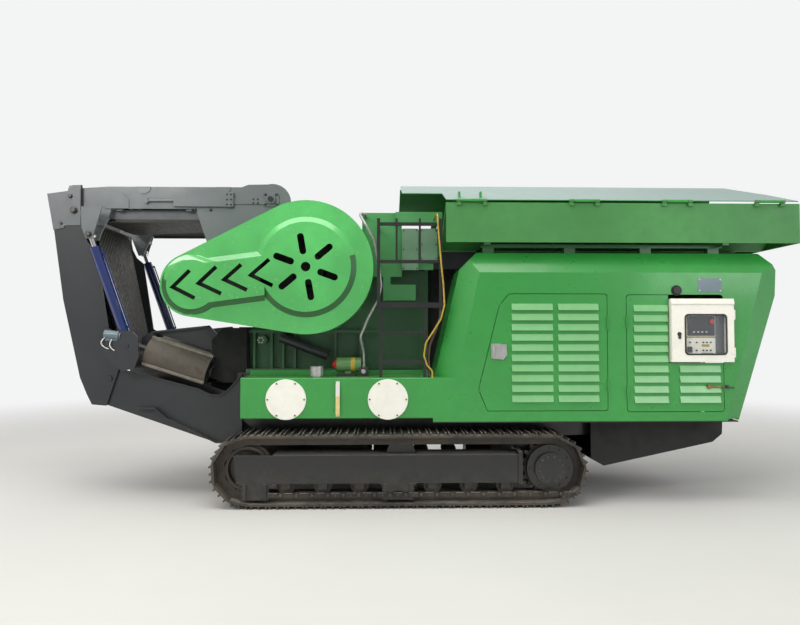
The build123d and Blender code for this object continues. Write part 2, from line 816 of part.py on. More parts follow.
# Far flywheel guard: a plain round drum cover
far_guard_front = 930
with BuildPart() as flywheel_guard:
    cross_tube(shaft_x, shaft_z, guard_radius, guard_back, far_guard_front)
    cross_tube(
        shaft_x,
        shaft_z,
        guard_radius - guard_wall,
        guard_back,
        far_guard_front - guard_wall,
        mode=Mode.SUBTRACT,
    )
    with BuildSketch(side(far_guard_front + 1)):
        with Locations(guard_big):
            Circle(45)
            with PolarLocations(slot_circle, slot_places, start_angle=40):
                SlotOverall(slot_length, slot_width)
    extrude(amount=40, mode=Mode.SUBTRACT)
    guard_arms(-1)
flywheel_guard.part.label = "flywheel_guard"
export_step(flywheel_guard.part, "parts/flywheel_guard.step")

# Inlet chute plates between the hopper and the jaw
chute_inner, chute_outer = 620, 632
with BuildPart() as inlet_chute:
    box_between((-528, -chute_outer, 2210), (-135, -chute_inner, 2865))
    box_between((-135, -chute_outer, 2281), (188, -chute_inner, 2694))
    box_between((188, -chute_outer, 2420), (hopper_left, -chute_inner, 2694))
    box_between((-540, -chute_outer - 30, 2200), (-528, -side_outer, 2865))
    box_between((-326, -chute_outer, 1969), (6, -side_outer, 2130))
    box_between((-326, -chute_outer, 2130), (-250, -chute_inner, 2210))
    box_between((-200, -chute_outer - 60, 2754), (hopper_left, -chute_outer, 2865))
    mirror(about=Plane.XZ)
inlet_chute.part.label = "inlet_chute"
export_step(inlet_chute.part, "parts/inlet_chute.step")

# Fines chute from under the grizzly down between the crusher and the hood, open at both ends
fines_half, fines_wall = 400, 8
fines_top = crusher_front[-1][1]
fines_outline = (*crusher_front, (hood_left, fines_top), (hood_left, bed_top))
fines_inside = (
    (crusher_right + fines_wall, bed_top - 1),
    *[(x + fines_wall, z) for x, z in crusher_front[1:3]],
    (crusher_front[-1][0] + fines_wall, fines_top + 1),
    (hood_left - fines_wall, fines_top + 1),
    (hood_left - fines_wall, bed_top - 1),
)
with BuildPart() as fines_chute:
    with BuildSketch(side(fines_half)):
        Polygon(*fines_outline, align=None)
    extrude(amount=2 * fines_half)
    with BuildSketch(side(fines_half - fines_wall)):
        Polygon(*fines_inside, align=None)
    extrude(amount=2 * (fines_half - fines_wall), mode=Mode.SUBTRACT)
fines_chute.part.label = "fines_chute"
export_step(fines_chute.part, "parts/fines_chute.step")

# Service ladder and cage on the near tank
ladder_y = -1050
tube_radius = 15
upper_post_x = (-370, 225)
lower_post_x = (-348, 72)
platform_bottom, platform_top = 1877, 1927
post_top, top_bar, middle_bar = 2735, 2681, 2320
middle_posts, middle_half, rung_half = (-197, 26), 10, 14
platform_left, platform_right, platform_half = -385, 247, 25
rung_heights = (1639, 1360)
with BuildPart() as service_ladder:
    for post_x in upper_post_x:
        box_between(
            (post_x - tube_radius, ladder_y - tube_radius, platform_top),
            (post_x + tube_radius, ladder_y + tube_radius, post_top),
        )
        box_between(
            (post_x - tube_radius, ladder_y, top_bar - tube_radius),
            (post_x + tube_radius, -chute_outer, top_bar + tube_radius),
        )
    for bar_z in (top_bar, middle_bar):
        box_between(
            (upper_post_x[0], ladder_y - tube_radius, bar_z - tube_radius),
            (upper_post_x[1], ladder_y + tube_radius, bar_z + tube_radius),
        )
    for post_x in middle_posts:
        box_between(
            (post_x - middle_half, ladder_y - middle_half, middle_bar),
            (post_x + middle_half, ladder_y + middle_half, post_top),
        )
    box_between(
        (platform_left, ladder_y - platform_half, platform_bottom),
        (platform_right, ladder_y + platform_half, platform_top),
    )
    for post_x in lower_post_x:
        box_between(
            (post_x - tube_radius, ladder_y - tube_radius, tank_top),
            (post_x + tube_radius, ladder_y + tube_radius, platform_bottom),
        )
    for rung_z in rung_heights:
        box_between(
            (lower_post_x[0], ladder_y - rung_half, rung_z - rung_half),
            (lower_post_x[1], ladder_y + rung_half, rung_z + rung_half),
        )
service_ladder.part.label = "service_ladder"
export_step(service_ladder.part, "parts/service_ladder.step")

# Hoses and cables strapped along the ladder, each a tube of straight runs and arcs


def laid_tube(points, radius, bend):
    """A hose along these points, bent to this radius at each."""
    with BuildLine() as route:
        FilletPolyline(*points, radius=bend)
    with BuildSketch(Plane(origin=points[0], z_dir=Vector(*points[1]) - Vector(*points[0]))) as section:
        Circle(radius)
    sweep(section.sketch, path=route.wire())


valve_top, valve_middle = 1300, (-515, -840)
grease_radius, grease_bend = 13, 80
grease_points = (
    (-500, -chute_outer, 2815),
    (-500, -780, 2815),
    (-560, -950, 2800),
    (-489, -1021, 2670),
    (-410, -1021, 2520),
    (-372, -1021, 2300),
    (-345, -1021, 2090),
    (-374, -1009, 1950),
    (-470, -980, 1780),
    (-545, -930, 1600),
    (*valve_middle, 1440),
    (*valve_middle, valve_top),
)
with BuildPart() as grease_hose:
    laid_tube(grease_points, grease_radius, grease_bend)
grease_hose.part.label = "grease_hose"
export_step(grease_hose.part, "parts/grease_hose.step")

cable_radius, strand_radius, cable_bend = 8, 10, 45
cable_points = (
    (190, -chute_outer - 60, 2790),
    (190, -860, 2790),
    (194, -1060, 2780),
    (198, -1084, 2670),
    (212, -1078, 2500),
    (228, -1078, 2300),
    (248, -1078, 2110),
    (258, -1087, 1900),
    (225, -1087, 1770),
    (150, -1087, 1650),
    (80, -1085, 1540),
    (62, -1082, 1420),
    (92, -1075, 1330),
    (142, -1073, 1275),
    (142, -1073, tank_top),
)
strand_points = (
    # x, z
    (222, platform_bottom),
    (222, 1790),
    (175, 1650),
    (120, 1520),
    (108, 1400),
    (116, 1300),
    (116, tank_top),
)
strand_places = (-1050, -1025, -1000)
with BuildPart() as ladder_cables:
    laid_tube(cable_points, cable_radius, cable_bend)
    for strand_y in strand_places:
        laid_tube([(x, strand_y, z) for x, z in strand_points], strand_radius, cable_bend)
ladder_cables.part.label = "ladder_cables"
export_step(ladder_cables.part, "parts/ladder_cables.step")

# Hydraulic valve block on the deck beside the ladder
with BuildPart() as valve_block:
    box_between(
        (valve_middle[0] - 45, valve_middle[1] - 60, tank_top),
        (valve_middle[0] + 45, valve_middle[1] + 60, valve_top),
    )
    box_between((-780, -880, tank_top), (-600, -760, 1240))
    with Locations(Location((-660, -820, 1325), (0, 90, 0))):
        Cylinder(70, 240)
    box_between((-700, -850, 1235), (-640, -790, 1300))
valve_block.part.label = "valve_block"
export_step(valve_block.part, "parts/valve_block.step")

# Hood: one shell with bevelled sides, a channel for the feeder and door openings
hood_outline = (
    (74, deck_top),
    (3125, deck_top),
    (hood_right, 2004),
    (3516, hood_shoulder),
    (3363, hood_top),
    (580, hood_top),
    (414, hood_shoulder),
)
hood_side_y = face_y - hood_bevel_depth
hood_facets = (
    # two points on the side face, then one on the body where the bevel ends
    ((376, 1204), (594, 2216), (414, hood_shoulder)),
    ((594, 2216), (3329, 2216), (1800, hood_top)),
    ((3329, 2216), (2960, deck_top), (hood_right, 2004)),
)
hood_step_right = 376


def hood_half(inset):
    """Near half of the hood's form, drawn this far inside its skin."""
    with BuildPart() as half:
        with BuildSketch(side(0)):
            Polygon(*hood_outline, align=None)
            if inset:
                offset(amount=-inset, kind=Kind.INTERSECTION, mode=Mode.REPLACE)
        extrude(amount=face_y - inset)
        for first, second, body in hood_facets:
            a = Vector(first[0], -face_y, first[1])
            b = Vector(second[0], -face_y, second[1])
            c = Vector(body[0], -hood_side_y, body[1])
            outward = (b - a).cross(c - a)
            if outward.Y > 0:
                outward = -outward
            plane = Plane(origin=a, x_dir=b - a, z_dir=outward).offset(-inset)
            split(bisect_by=plane, keep=Keep.BOTTOM)
        box_between((0, -face_y, 0), (hood_left + inset, 0, 3000), mode=Mode.SUBTRACT)
        box_between(
            (hood_left + inset, -face_y + inset, deck_top + inset),
            (hood_step_right - inset, 0, tank_top - inset),
        )
        box_between((0, -channel_half - inset, channel_floor - inset), (4000, 0, 3000), mode=Mode.SUBTRACT)
    return half.part


front_door_outline = (
    (877, 2007),
    (784, 1898),
    (583, 1100),
    (666, 899),
    (1815, 899),
    (1815, 2007),
)
rear_door_low, rear_door_high = (2006, 888), (2937, 1999)
cabinet_low, cabinet_high = (2417, 1359), (3018, 1964)
cabinet_back, cabinet_front, cabinet_lip = 960, 1136, 1150
cabinet_wall, cabinet_door_thick = 6, 8
lip_height = 58
door_corner = 25
hinge_radius, hinge_pin, hinge_reach, pin_play = 9, 4, 60, 0.2
hinge_y = -face_y - hinge_radius - 1
front_hinge_x = front_door_outline[4][0] + door_gap / 2
rear_hinge_x = rear_door_low[0] - door_gap / 2
front_hinge_heights = (1139, 1727)
rear_hinge_heights = (1066, 1740)


def rectangle_points(low, high):
    return (low, (high[0], low[1]), high, (low[0], high[1]))


def hood_hinges(hinge_x, heights, leaf_x):
    """Fixed knuckles of one door's hinges, with the pins that carry the door."""
    left, right = sorted((hinge_x, leaf_x))
    for height in heights:
        for middle in (-0.75 * hinge_reach - 0.5, 0.75 * hinge_reach + 0.5):
            with Locations((hinge_x, hinge_y, height + middle)):
                Cylinder(hinge_radius, hinge_reach / 2 - 1)
            box_between(
                (left, -face_y - 5, height + middle - hinge_reach / 4 + 0.5),
                (right, -face_y, height + middle + hinge_reach / 4 - 0.5),
            )
        with Locations((hinge_x, hinge_y, height)):
            Cylinder(hinge_pin, 2 * hinge_reach)


def door_hinges(hinge_x, heights, leaf_x):
    """Middle knuckles of one door's hinges, bored for the pins."""
    left, right = sorted((hinge_x, leaf_x))
    for height in heights:
        with Locations((hinge_x, hinge_y, height)):
            Cylinder(hinge_radius, hinge_reach)
        box_between(
            (left, -face_y - 5, height - hinge_reach / 2), (right, -face_y, height + hinge_reach / 2)
        )
        with Locations((hinge_x, hinge_y, height)):
            Cylinder(hinge_pin + pin_play, hinge_reach, mode=Mode.SUBTRACT)


# Radiator opening in the hood's rear end, leaning with it
grille_half, grille_low, grille_high, grille_frame = 700, 1060, 1900, 40
slat_count, slat_height = 14, 26
hood_rear_foot = 3125
grille_lean = atan2(hood_right - hood_rear_foot, hood_outline[2][1] - deck_top)
grille_height = (grille_high - grille_low) / cos(grille_lean)
grille_plane = Plane(
    origin=(hood_rear_foot + (grille_low - deck_top) * tan(grille_lean), 0, grille_low),
    x_dir=(0, 1, 0),
    z_dir=(cos(grille_lean), 0, -sin(grille_lean)),
)

# Half of the hood, from which its flanks and the bridge between them are cut
with BuildPart() as hood_form:
    add(hood_half(0))
    add(hood_half(hood_wall), mode=Mode.SUBTRACT)
    box_between(
        (hood_left + hood_wall, -face_y + hood_wall, deck_top - 1),
        (hood_rear_foot - hood_wall, 0, deck_top + hood_wall + 1),
        mode=Mode.SUBTRACT,
    )
    for outline in (front_door_outline, rectangle_points(rear_door_low, rear_door_high)):
        with BuildSketch(side(-face_y + hood_wall + 20)):
            Polygon(*outline, align=None)
            fillet(vertices(), door_corner)
            offset(amount=door_gap)
        extrude(amount=60, mode=Mode.SUBTRACT)
    hood_hinges(front_hinge_x, front_hinge_heights, front_hinge_x + 30)
    hood_hinges(rear_hinge_x, rear_hinge_heights, rear_hinge_x - 30)
    with BuildSketch(grille_plane.offset(-hood_wall - 20)):
        with Locations((0, grille_height / 2)):
            Rectangle(2 * grille_half, grille_height)
    extrude(amount=hood_wall + 40, mode=Mode.SUBTRACT)

with BuildPart() as hood_flank:
    add(hood_form.part)
    split(bisect_by=Plane.XZ.offset(channel_half), keep=Keep.TOP)

with BuildPart() as hood_near:
    add(hood_flank.part)
    box_between(
        (cabinet_low[0], -face_y - 5, cabinet_low[1]),
        (cabinet_high[0], -face_y + 60, cabinet_high[1]),
        mode=Mode.SUBTRACT,
    )
hood_near.part.label = "hood_near"
export_step(hood_near.part, "parts/hood_near.step")

with BuildPart() as hood_far:
    add(hood_flank.part.mirror(Plane.XZ))
hood_far.part.label = "hood_far"
export_step(hood_far.part, "parts/hood_far.step")

# Bridge between the flanks: the channel's floor and the middle of both end walls
with BuildPart() as hood_bridge:
    add(hood_form.part)
    split(bisect_by=Plane.XZ.offset(channel_half), keep=Keep.BOTTOM)
    mirror(about=Plane.XZ)
hood_bridge.part.label = "hood_bridge"
export_step(hood_bridge.part, "parts/hood_bridge.step")

with BuildPart() as radiator_grille:
    with BuildSketch(grille_plane.offset(-hood_wall)):
        with Locations((0, grille_height / 2)):
            Rectangle(2 * grille_half, grille_height)
            Rectangle(2 * (grille_half - grille_frame), grille_height - 2 * grille_frame, mode=Mode.SUBTRACT)
    extrude(amount=hood_wall)
    with BuildSketch(grille_plane.offset(-hood_wall)):
        with Locations((0, grille_height / 2)):
            with GridLocations(0, (grille_height - 2 * grille_frame) / slat_count, 1, slat_count):
                Rectangle(2 * grille_half - grille_frame, slat_height)
            Rectangle(30, grille_height - grille_frame)
    extrude(amount=4)
radiator_grille.part.label = "radiator_grille"
export_step(radiator_grille.part, "parts/radiator_grille.step")


def louvre_columns(columns, y=-face_y):
    """Pressed louvres, open below: columns are (left, right, top row height, first row)."""
    for left, right, top_z, first_row in columns:
        for row in range(first_row, louvre_rows):
            row_z = top_z - row * louvre_pitch
            top, bottom = row_z + louvre_height / 2, row_z - louvre_height / 2
            with BuildSketch(Plane.YZ.offset(left)) as hood_form:
                Polygon((y, top), (y, bottom), (y - louvre_depth, bottom), align=None)
            extrude(hood_form.sketch, amount=right - left)
            with BuildSketch(Plane.YZ.offset(left + 5)) as hollow:
                Polygon(
                    (y + door_thick + 1, top - 26),
                    (y + door_thick + 1, bottom + 0.01),
                    (y - louvre_depth + 5, bottom - 0.01),
                    (y - 1, top - 14),
                    align=None,
                )
            extrude(hollow.sketch, amount=right - left - 10, mode=Mode.SUBTRACT)


front_columns = ((898, 1293, 1885, 0), (1343, 1732, 1885, 0))
rear_columns = ((2072, 2459, 1874, 0), (2513, 2905, 1874, 0))
notched_columns = ((2072, 2400, 1874, 0), (2513, 2905, 1874, 6))
latch_place = (700, 1465)

with BuildPart() as door_near_front:
    with BuildSketch(side(-face_y + door_thick)):
        Polygon(*front_door_outline, align=None)
        fillet(vertices(), door_corner)
    extrude(amount=door_thick)
    louvre_columns(front_columns)
    door_hinges(front_hinge_x, front_hinge_heights, front_hinge_x - 30)
    box_between(
        (latch_place[0], -face_y - 14, latch_place[1] - 70),
        (latch_place[0] + 90, -face_y, latch_place[1] + 70),
    )
door_near_front.part.label = "door_near_front"
export_step(door_near_front.part, "parts/door_near_front.step")

with BuildPart() as door_far_front:
    add(door_near_front.part.mirror(Plane.XZ))
door_far_front.part.label = "door_far_front"
export_step(door_far_front.part, "parts/door_far_front.step")

# Rear doors: the near one is two leaves welded edge to edge round the control cabinet
notch_gap = 9
notch_x = cabinet_low[0] - notch_gap


def rear_door(columns):
    """Whole rear door of the near side, with its louvres."""
    with BuildPart() as door:
        with BuildSketch(side(-face_y + door_thick)) as panel:
            Polygon(*rectangle_points(rear_door_low, rear_door_high), align=None)
            fillet(panel.vertices(), door_corner)
        extrude(panel.sketch, amount=door_thick)
        louvre_columns(columns)
        door_hinges(rear_hinge_x, rear_hinge_heights, rear_hinge_x + 30)
    return door.part


with BuildPart() as door_near_rear:
    add(rear_door(notched_columns))
    split(bisect_by=Plane.YZ.offset(notch_x), keep=Keep.BOTTOM)
door_near_rear.part.label = "door_near_rear"
export_step(door_near_rear.part, "parts/door_near_rear.step")

with BuildPart() as door_near_low:
    add(rear_door(notched_columns))
    split(bisect_by=Plane.YZ.offset(notch_x), keep=Keep.TOP)
    split(bisect_by=Plane.XY.offset(cabinet_low[1] - notch_gap), keep=Keep.BOTTOM)
door_near_low.part.label = "door_near_low"
export_step(door_near_low.part, "parts/door_near_low.step")

with BuildPart() as door_far_rear:
    add(rear_door(rear_columns).mirror(Plane.XZ))
door_far_rear.part.label = "door_far_rear"
export_step(door_far_rear.part, "parts/door_far_rear.step")

# Control cabinet set into the near side, with its own windowed door
window_low, window_high = (2549, 1434), (2943, 1809)
cabinet_top = cabinet_high[1] - lip_height
cabinet_hinge_x, cabinet_hinge_y, cabinet_knuckle = cabinet_high[0] + 8, -cabinet_front - 4, 7
cabinet_hinge_heights = (1450, 1810)
with BuildPart() as control_cabinet:
    box_between(
        (cabinet_low[0], -cabinet_front, cabinet_low[1]), (cabinet_high[0], -cabinet_back, cabinet_high[1])
    )
    box_between(
        (cabinet_low[0] + cabinet_wall, -cabinet_front - 1, cabinet_low[1] + cabinet_wall),
        (cabinet_high[0] - cabinet_wall, -cabinet_back - cabinet_wall, cabinet_top - cabinet_wall),
        mode=Mode.SUBTRACT,
    )
    with BuildSketch(Plane.YZ.offset(cabinet_low[0] - 4)):
        Polygon(
            (-cabinet_front, cabinet_high[1]),
            (-cabinet_front, cabinet_top + 2),
            (-cabinet_lip, cabinet_top + 2),
            (-cabinet_lip, cabinet_top + 16),
            align=None,
        )
    extrude(amount=cabinet_high[0] - cabinet_low[0] + 8)
    for height in cabinet_hinge_heights:
        for middle in (-31, 31):
            with Locations((cabinet_hinge_x, cabinet_hinge_y, height + middle)):
                Cylinder(cabinet_knuckle, 30)
            box_between(
                (cabinet_high[0], cabinet_hinge_y, height + middle - 15),
                (cabinet_hinge_x, -face_y - 15, height + middle + 15),
            )
        with Locations((cabinet_hinge_x, cabinet_hinge_y, height)):
            Cylinder(hinge_pin, 90)
control_cabinet.part.label = "control_cabinet"
export_step(control_cabinet.part, "parts/control_cabinet.step")

panel_y = -cabinet_front + 40
with BuildPart() as control_panel:
    box_between(
        (cabinet_low[0] + cabinet_wall, panel_y, cabinet_low[1] + cabinet_wall),
        (cabinet_high[0] - cabinet_wall, panel_y + 6, cabinet_top - cabinet_wall),
    )
    box_between((2590, panel_y - 10, 1610), (2850, panel_y, 1795))
    with BuildSketch(side(panel_y)):
        with Locations((2612, 1546), (2676, 1546), (2740, 1546), (2774, 1546), (2812, 1546)):
            Circle(8)
        with Locations((2676, 1470), (2740, 1470), (2774, 1470), (2812, 1470)):
            Circle(8)
    extrude(amount=8)
control_panel.part.label = "control_panel"
export_step(control_panel.part, "parts/control_panel.step")

with BuildPart() as cabinet_door:
    with BuildSketch(side(-cabinet_front - 0.5)):
        Polygon(
            *rectangle_points((cabinet_low[0] + 2, cabinet_low[1] + 2), (cabinet_high[0], cabinet_top - 2)),
            align=None,
        )
        with Locations(((window_low[0] + window_high[0]) / 2, (window_low[1] + window_high[1]) / 2)):
            RectangleRounded(
                window_high[0] - window_low[0],
                window_high[1] - window_low[1],
                30,
                mode=Mode.SUBTRACT,
            )
    extrude(amount=cabinet_door_thick)
    for height in cabinet_hinge_heights:
        with Locations((cabinet_hinge_x, cabinet_hinge_y, height)):
            Cylinder(cabinet_knuckle, 30)
        box_between(
            (cabinet_hinge_x - 40, cabinet_hinge_y - cabinet_knuckle, height - 15),
            (cabinet_hinge_x, cabinet_hinge_y - cabinet_knuckle + 3, height + 15),
        )
        with Locations((cabinet_hinge_x, cabinet_hinge_y, height)):
            Cylinder(hinge_pin + pin_play, 30, mode=Mode.SUBTRACT)
cabinet_door.part.label = "cabinet_door"
export_step(cabinet_door.part, "parts/cabinet_door.step")

with BuildPart() as cabinet_window:
    with BuildSketch(side(-cabinet_front - 3)):
        with Locations(((window_low[0] + window_high[0]) / 2, (window_low[1] + window_high[1]) / 2)):
            RectangleRounded(window_high[0] - window_low[0], window_high[1] - window_low[1], 30)
    extrude(amount=4)
cabinet_window.part.label = "cabinet_window"
export_step(cabinet_window.part, "parts/cabinet_window.step")

# Engine, one plain block on the deck
with BuildPart() as engine_block:
    box_between((1400, -400, deck_top), (2900, 400, 1950))
engine_block.part.label = "engine_block"
export_step(engine_block.part, "parts/engine_block.step")

# Vibrating feeder in the hood's channel, with grizzly bars at its end
feeder_half, feeder_floor, feeder_left, feeder_right = 430, 2310, -250, 3440
feeder_plate = 12
grizzly_right, grizzly_pitch = 560, 80
with BuildPart() as feeder:
    box_between((feeder_left, -feeder_half, feeder_floor), (feeder_right, feeder_half, 2495))
    box_between(
        (feeder_left - 1, -feeder_half + feeder_plate, feeder_floor + feeder_plate),
        (feeder_right - feeder_plate, feeder_half - feeder_plate, 2600),
        mode=Mode.SUBTRACT,
    )
    for bar in range(-4, 5):
        bar_y = bar * grizzly_pitch
        box_between(
            (feeder_left + 20, bar_y + 20, feeder_floor - 1),
            (grizzly_right, bar_y + grizzly_pitch - 20, feeder_floor + 20),
            mode=Mode.SUBTRACT,
        )
    for foot_x in (700, 3000):
        for foot_y in (-340, 340):
            box_between((foot_x - 60, foot_y - 50, channel_floor), (foot_x + 60, foot_y + 50, feeder_floor))
feeder.part.label = "feeder"
export_step(feeder.part, "parts/feeder.step")

# Hopper: a hollow wedge along each side and a wall across the end
hopper_lip = 40
hopper_slope_y = 440
wing_knuckles = ((420, 620), (1500, 1700), (2400, 2600), (3300, 3500))
fixed_knuckle, knuckle_gap, wing_pin = 40, 5, 7
with BuildPart() as hopper:
    with BuildSketch(Plane.YZ.offset(hopper_left)):
        Polygon(
            (-hopper_face, hopper_bottom),
            (-hopper_face, hopper_top),
            (-hopper_face + hopper_lip, hopper_top),
            (-hopper_slope_y, hopper_bottom + 20),
            (-hopper_slope_y, hopper_bottom),
            (-hopper_slope_y - 30, hopper_bottom),
            (-hopper_face + sheet + 20, hopper_top - 42),
            (-hopper_face + sheet, hopper_top - 42),
            (-hopper_face + sheet, hopper_bottom),
            align=None,
        )
    extrude(amount=hopper_right - 20 - hopper_left)
    for left, right in wing_knuckles:
        for low, high in ((left - knuckle_gap - fixed_knuckle, left - knuckle_gap),
                          (right + knuckle_gap, right + knuckle_gap + fixed_knuckle)):
            with Locations(Location(((low + high) / 2, -wing_hinge_y, wing_hinge_z), (0, 90, 0))):
                Cylinder(knuckle_radius, high - low)
            box_between((low, -wing_hinge_y, hopper_top - 30), (high, -hopper_face, wing_hinge_z - 6))
        with Locations(Location(((left + right) / 2, -wing_hinge_y, wing_hinge_z), (0, 90, 0))):
            Cylinder(wing_pin, right - left + 2 * (knuckle_gap + fixed_knuckle) + 10)
    mirror(about=Plane.XZ)
    box_between((hopper_right - 20, -hopper_face, hopper_bottom), (hopper_right, hopper_face, hopper_top))
    with BuildSketch(side(hopper_slope_y)):
        Polygon(
            (hopper_right - 20, hopper_top - 60),
            (hopper_right - 20, hopper_top - 90),
            (feeder_right + 5, hopper_bottom),
            (feeder_right - 20, hopper_bottom),
            align=None,
        )
    extrude(amount=2 * hopper_slope_y)
hopper.part.label = "hopper"
export_step(hopper.part, "parts/hopper.step")

support_low_y, support_high_y = -950, -890
foot_places = (700, 1500, 2250, 2925)
with BuildPart() as hopper_supports:
    box_between((630, support_low_y, 2470), (3017, support_high_y, hopper_bottom))
    for foot_x in foot_places:
        box_between((foot_x - 54, support_low_y, hood_top), (foot_x + 54, support_high_y, 2470))
    box_between((640, -hopper_face + sheet, hopper_bottom - 20), (700, support_low_y, hopper_bottom))
    box_between((2950, -hopper_face + sheet, hopper_bottom - 20), (3010, support_low_y, hopper_bottom))
    box_between((640, support_high_y, hopper_bottom - 20), (700, -hopper_slope_y - 25, hopper_bottom))
    mirror(about=Plane.XZ)
hopper_supports.part.label = "hopper_supports"
export_step(hopper_supports.part, "parts/hopper_supports.step")

# Folding wings of the hopper, hinged along its top edges and folded inwards
wing_root = knuckle_radius + 6
wing_outline = (
    # x, distance from the hinge line
    (hopper_left, wing_root),
    (hopper_left, 471),
    (-135, 471),
    (-135, 1095),
    (3470, 1062),
    (3639, 471),
    (3688, wing_root),
)
wing_angle = radians(wing_slope)
wing_plane = Plane(
    origin=(0, -wing_hinge_y, wing_hinge_z), x_dir=(1, 0, 0), z_dir=(0, -sin(wing_angle), cos(wing_angle))
)
with BuildPart() as wing_near:
    with BuildSketch(wing_plane.offset(-wing_thick / 2)):
        Polygon(*wing_outline, align=None)
        for left, right in wing_knuckles:
            Polygon((left, 0), (right, 0), (right, wing_root + 5), (left, wing_root + 5), align=None)
    extrude(amount=wing_thick)
    for left, right in wing_knuckles:
        with Locations(Location(((left + right) / 2, -wing_hinge_y, wing_hinge_z), (0, 90, 0))):
            Cylinder(knuckle_radius, right - left)
            Cylinder(wing_pin + pin_play, right - left, mode=Mode.SUBTRACT)
    for lug_x in (413, 621):
        with BuildSketch(Plane.YZ.offset(lug_x - 10)):
            with Locations((-wing_hinge_y + 150, wing_hinge_z + 150 * tan(wing_angle) + 20)):
                Rectangle(70, 70)
        extrude(amount=20)
wing_near.part.label = "wing_near"
export_step(wing_near.part, "parts/wing_near.step")

with BuildPart() as wing_far:
    add(wing_near.part.mirror(Plane.XZ))
wing_far.part.label = "wing_far"
export_step(wing_far.part, "parts/wing_far.step")


# Conveyor: each section is drawn along its own direction from its fold axis

def section_plane(origin, angle, y):
    """Plane of one section: x along it, its carrying side towards -y."""
    turn = radians(angle)
    return Plane(origin=(origin[0], y, origin[1]), x_dir=(cos(turn), 0, sin(turn)), z_dir=(0, -1, 0))


def belt_loop(origin, angle, first, last):
    """Endless belt round two drums."""
    with BuildSketch(section_plane(origin, angle, belt_half)) as loop:
        tangent_hull(first, drum_radius + belt_thick, last, drum_radius + belt_thick)
        tangent_hull(first, drum_radius, last, drum_radius, mode=Mode.SUBTRACT)
    extrude(loop.sketch, amount=2 * belt_half)


def drum_pair(origin, angle, ends):
    """Drums with their axles: ends are (centre, how far the axle reaches)."""
    for centre, reach in ends:
        for radius, half in ((drum_radius - running_gap, belt_half + 10), (pin_radius, reach)):
            with BuildSketch(section_plane(origin, angle, half)) as round_form:
                with Locations(centre):
                    Circle(radius)
            extrude(round_form.sketch, amount=2 * half)


tube_thick = 30


def section_tubes(origin, angle, places, reach):
    """Cross tubes of one section: places are along it and across it."""
    with BuildSketch(section_plane(origin, angle, reach)) as tubes:
        with Locations(*places):
            Circle(tube_thick)
    extrude(tubes.sketch, amount=2 * reach)


lower_drums = ((tail_drum_x, drum_offset), (-drum_setback, drum_offset))
mid_drums = ((drum_setback, drum_offset), (mid_length - drum_setback, drum_offset))
head_drums = ((drum_setback, drum_offset), head_drum)

lower_plate_outline = (
    (-3268, 986),
    (-3100, 921),
    (-1982, 530),
    (-1745, 530),
    (-1745, 1225),
    (-1861, 1085),
    (-1953, 1009),
    (-2057, 1015),
    (-2173, 1073),
    (-2739, 1223),
    (-2960, 1275),
    (-3110, 1285),
    (-3190, 1200),
)
rim_thick, flange_reach, lip_reach = 12, 60, 25
flange_line = ((-2772, 885), (-2600, 885), (-2468, 775), (-1990, 545), (-1751, 545))
lip_line = ((-2739, 1223), (-2173, 1073), (-2057, 1015), (-1953, 1009), (-1861, 1085), (-1751, 1215))
trough_outline = (
    # along the lower section, across it
    (-1390, -170),
    (-1390, 215),
    (tail_drum_x - 120, 215),
    (tail_drum_x - 120, -170),
)
with BuildPart() as conveyor_lower:
    with BuildSketch(side(-fixed_plate)):
        Polygon(*lower_plate_outline, align=None)
    extrude(amount=plate_thick)
    for line, reach in ((flange_line, flange_reach), (lip_line, lip_reach)):
        with BuildSketch(side(-fixed_plate - plate_thick)):
            with BuildLine():
                rim = Polyline(*line)
            trace(rim, line_width=rim_thick)
        extrude(amount=reach)
    box_between((rail_left, -fixed_plate, 850), (-1745, -rail_outer, 1120))
    with BuildSketch(section_plane(fold_low, lower_angle, -rail_inner + 12)):
        Polygon(*trough_outline, align=None)
    extrude(amount=12)
    cross_tube(fold_low[0], fold_low[1], 45, -fixed_plate, -fixed_plate + 20)
    cross_tube(fold_low[0], fold_low[1], pin_radius, -fold_plate - plate_thick - 14, -fixed_plate)
    mirror(about=Plane.XZ)
    section_tubes(fold_low, lower_angle, ((-450, 215), (-1200, 215)), fixed_plate)
    drum_pair(fold_low, lower_angle, ((lower_drums[0], rail_inner - 12), (lower_drums[1], fixed_plate)))
conveyor_lower.part.label = "conveyor_lower"
export_step(conveyor_lower.part, "parts/conveyor_lower.step")

with BuildPart() as lower_belt:
    belt_loop(fold_low, lower_angle, *lower_drums)
lower_belt.part.label = "lower_belt"
export_step(lower_belt.part, "parts/lower_belt.step")

# Middle section: wide plates that stand up beside the belt as folded
mid_plate_outline = (
    (-3283, 1026),
    (-3231, 923),
    (-3087, 911),
    (-2971, 1269),
    (-3077, 1666),
    (-3208, 2472),
    (-3290, 2540),
    (-3340, 2640),
    (-3355, 2718),
    (-3361, 3129),
    (-3461, 3126),
    (-3474, 3069),
    (-3704, 3037),
    (-3631, 2664),
    (-3530, 1969),
    (-3353, 1193),
)
cylinder_pin, cylinder_base = (-3238, 2616), (-2842, 1512)
cylinder_y, cylinder_half_width = -735, 24
fork_thick, fork_gap = 12, 56
base_lug_thick = 30
base_lug_outline = (
    (-3110, 1700),
    (-2880, 1570),
    (-2795, 1540),
    (-2795, 1475),
    (-2870, 1455),
    (-3040, 1400),
    (-3100, 1420),
)
outer_lug_outline = (
    (-3070, 1640),
    (-2940, 1660),
    (-2790, 1655),
    (-2735, 1600),
    (-2720, 1420),
    (-2760, 1290),
    (-2880, 1262),
    (-2980, 1330),
    (-3070, 1440),
)
lug_web = (-3070, -3010, 1440, 1640)
pivot_plate_thick = 8
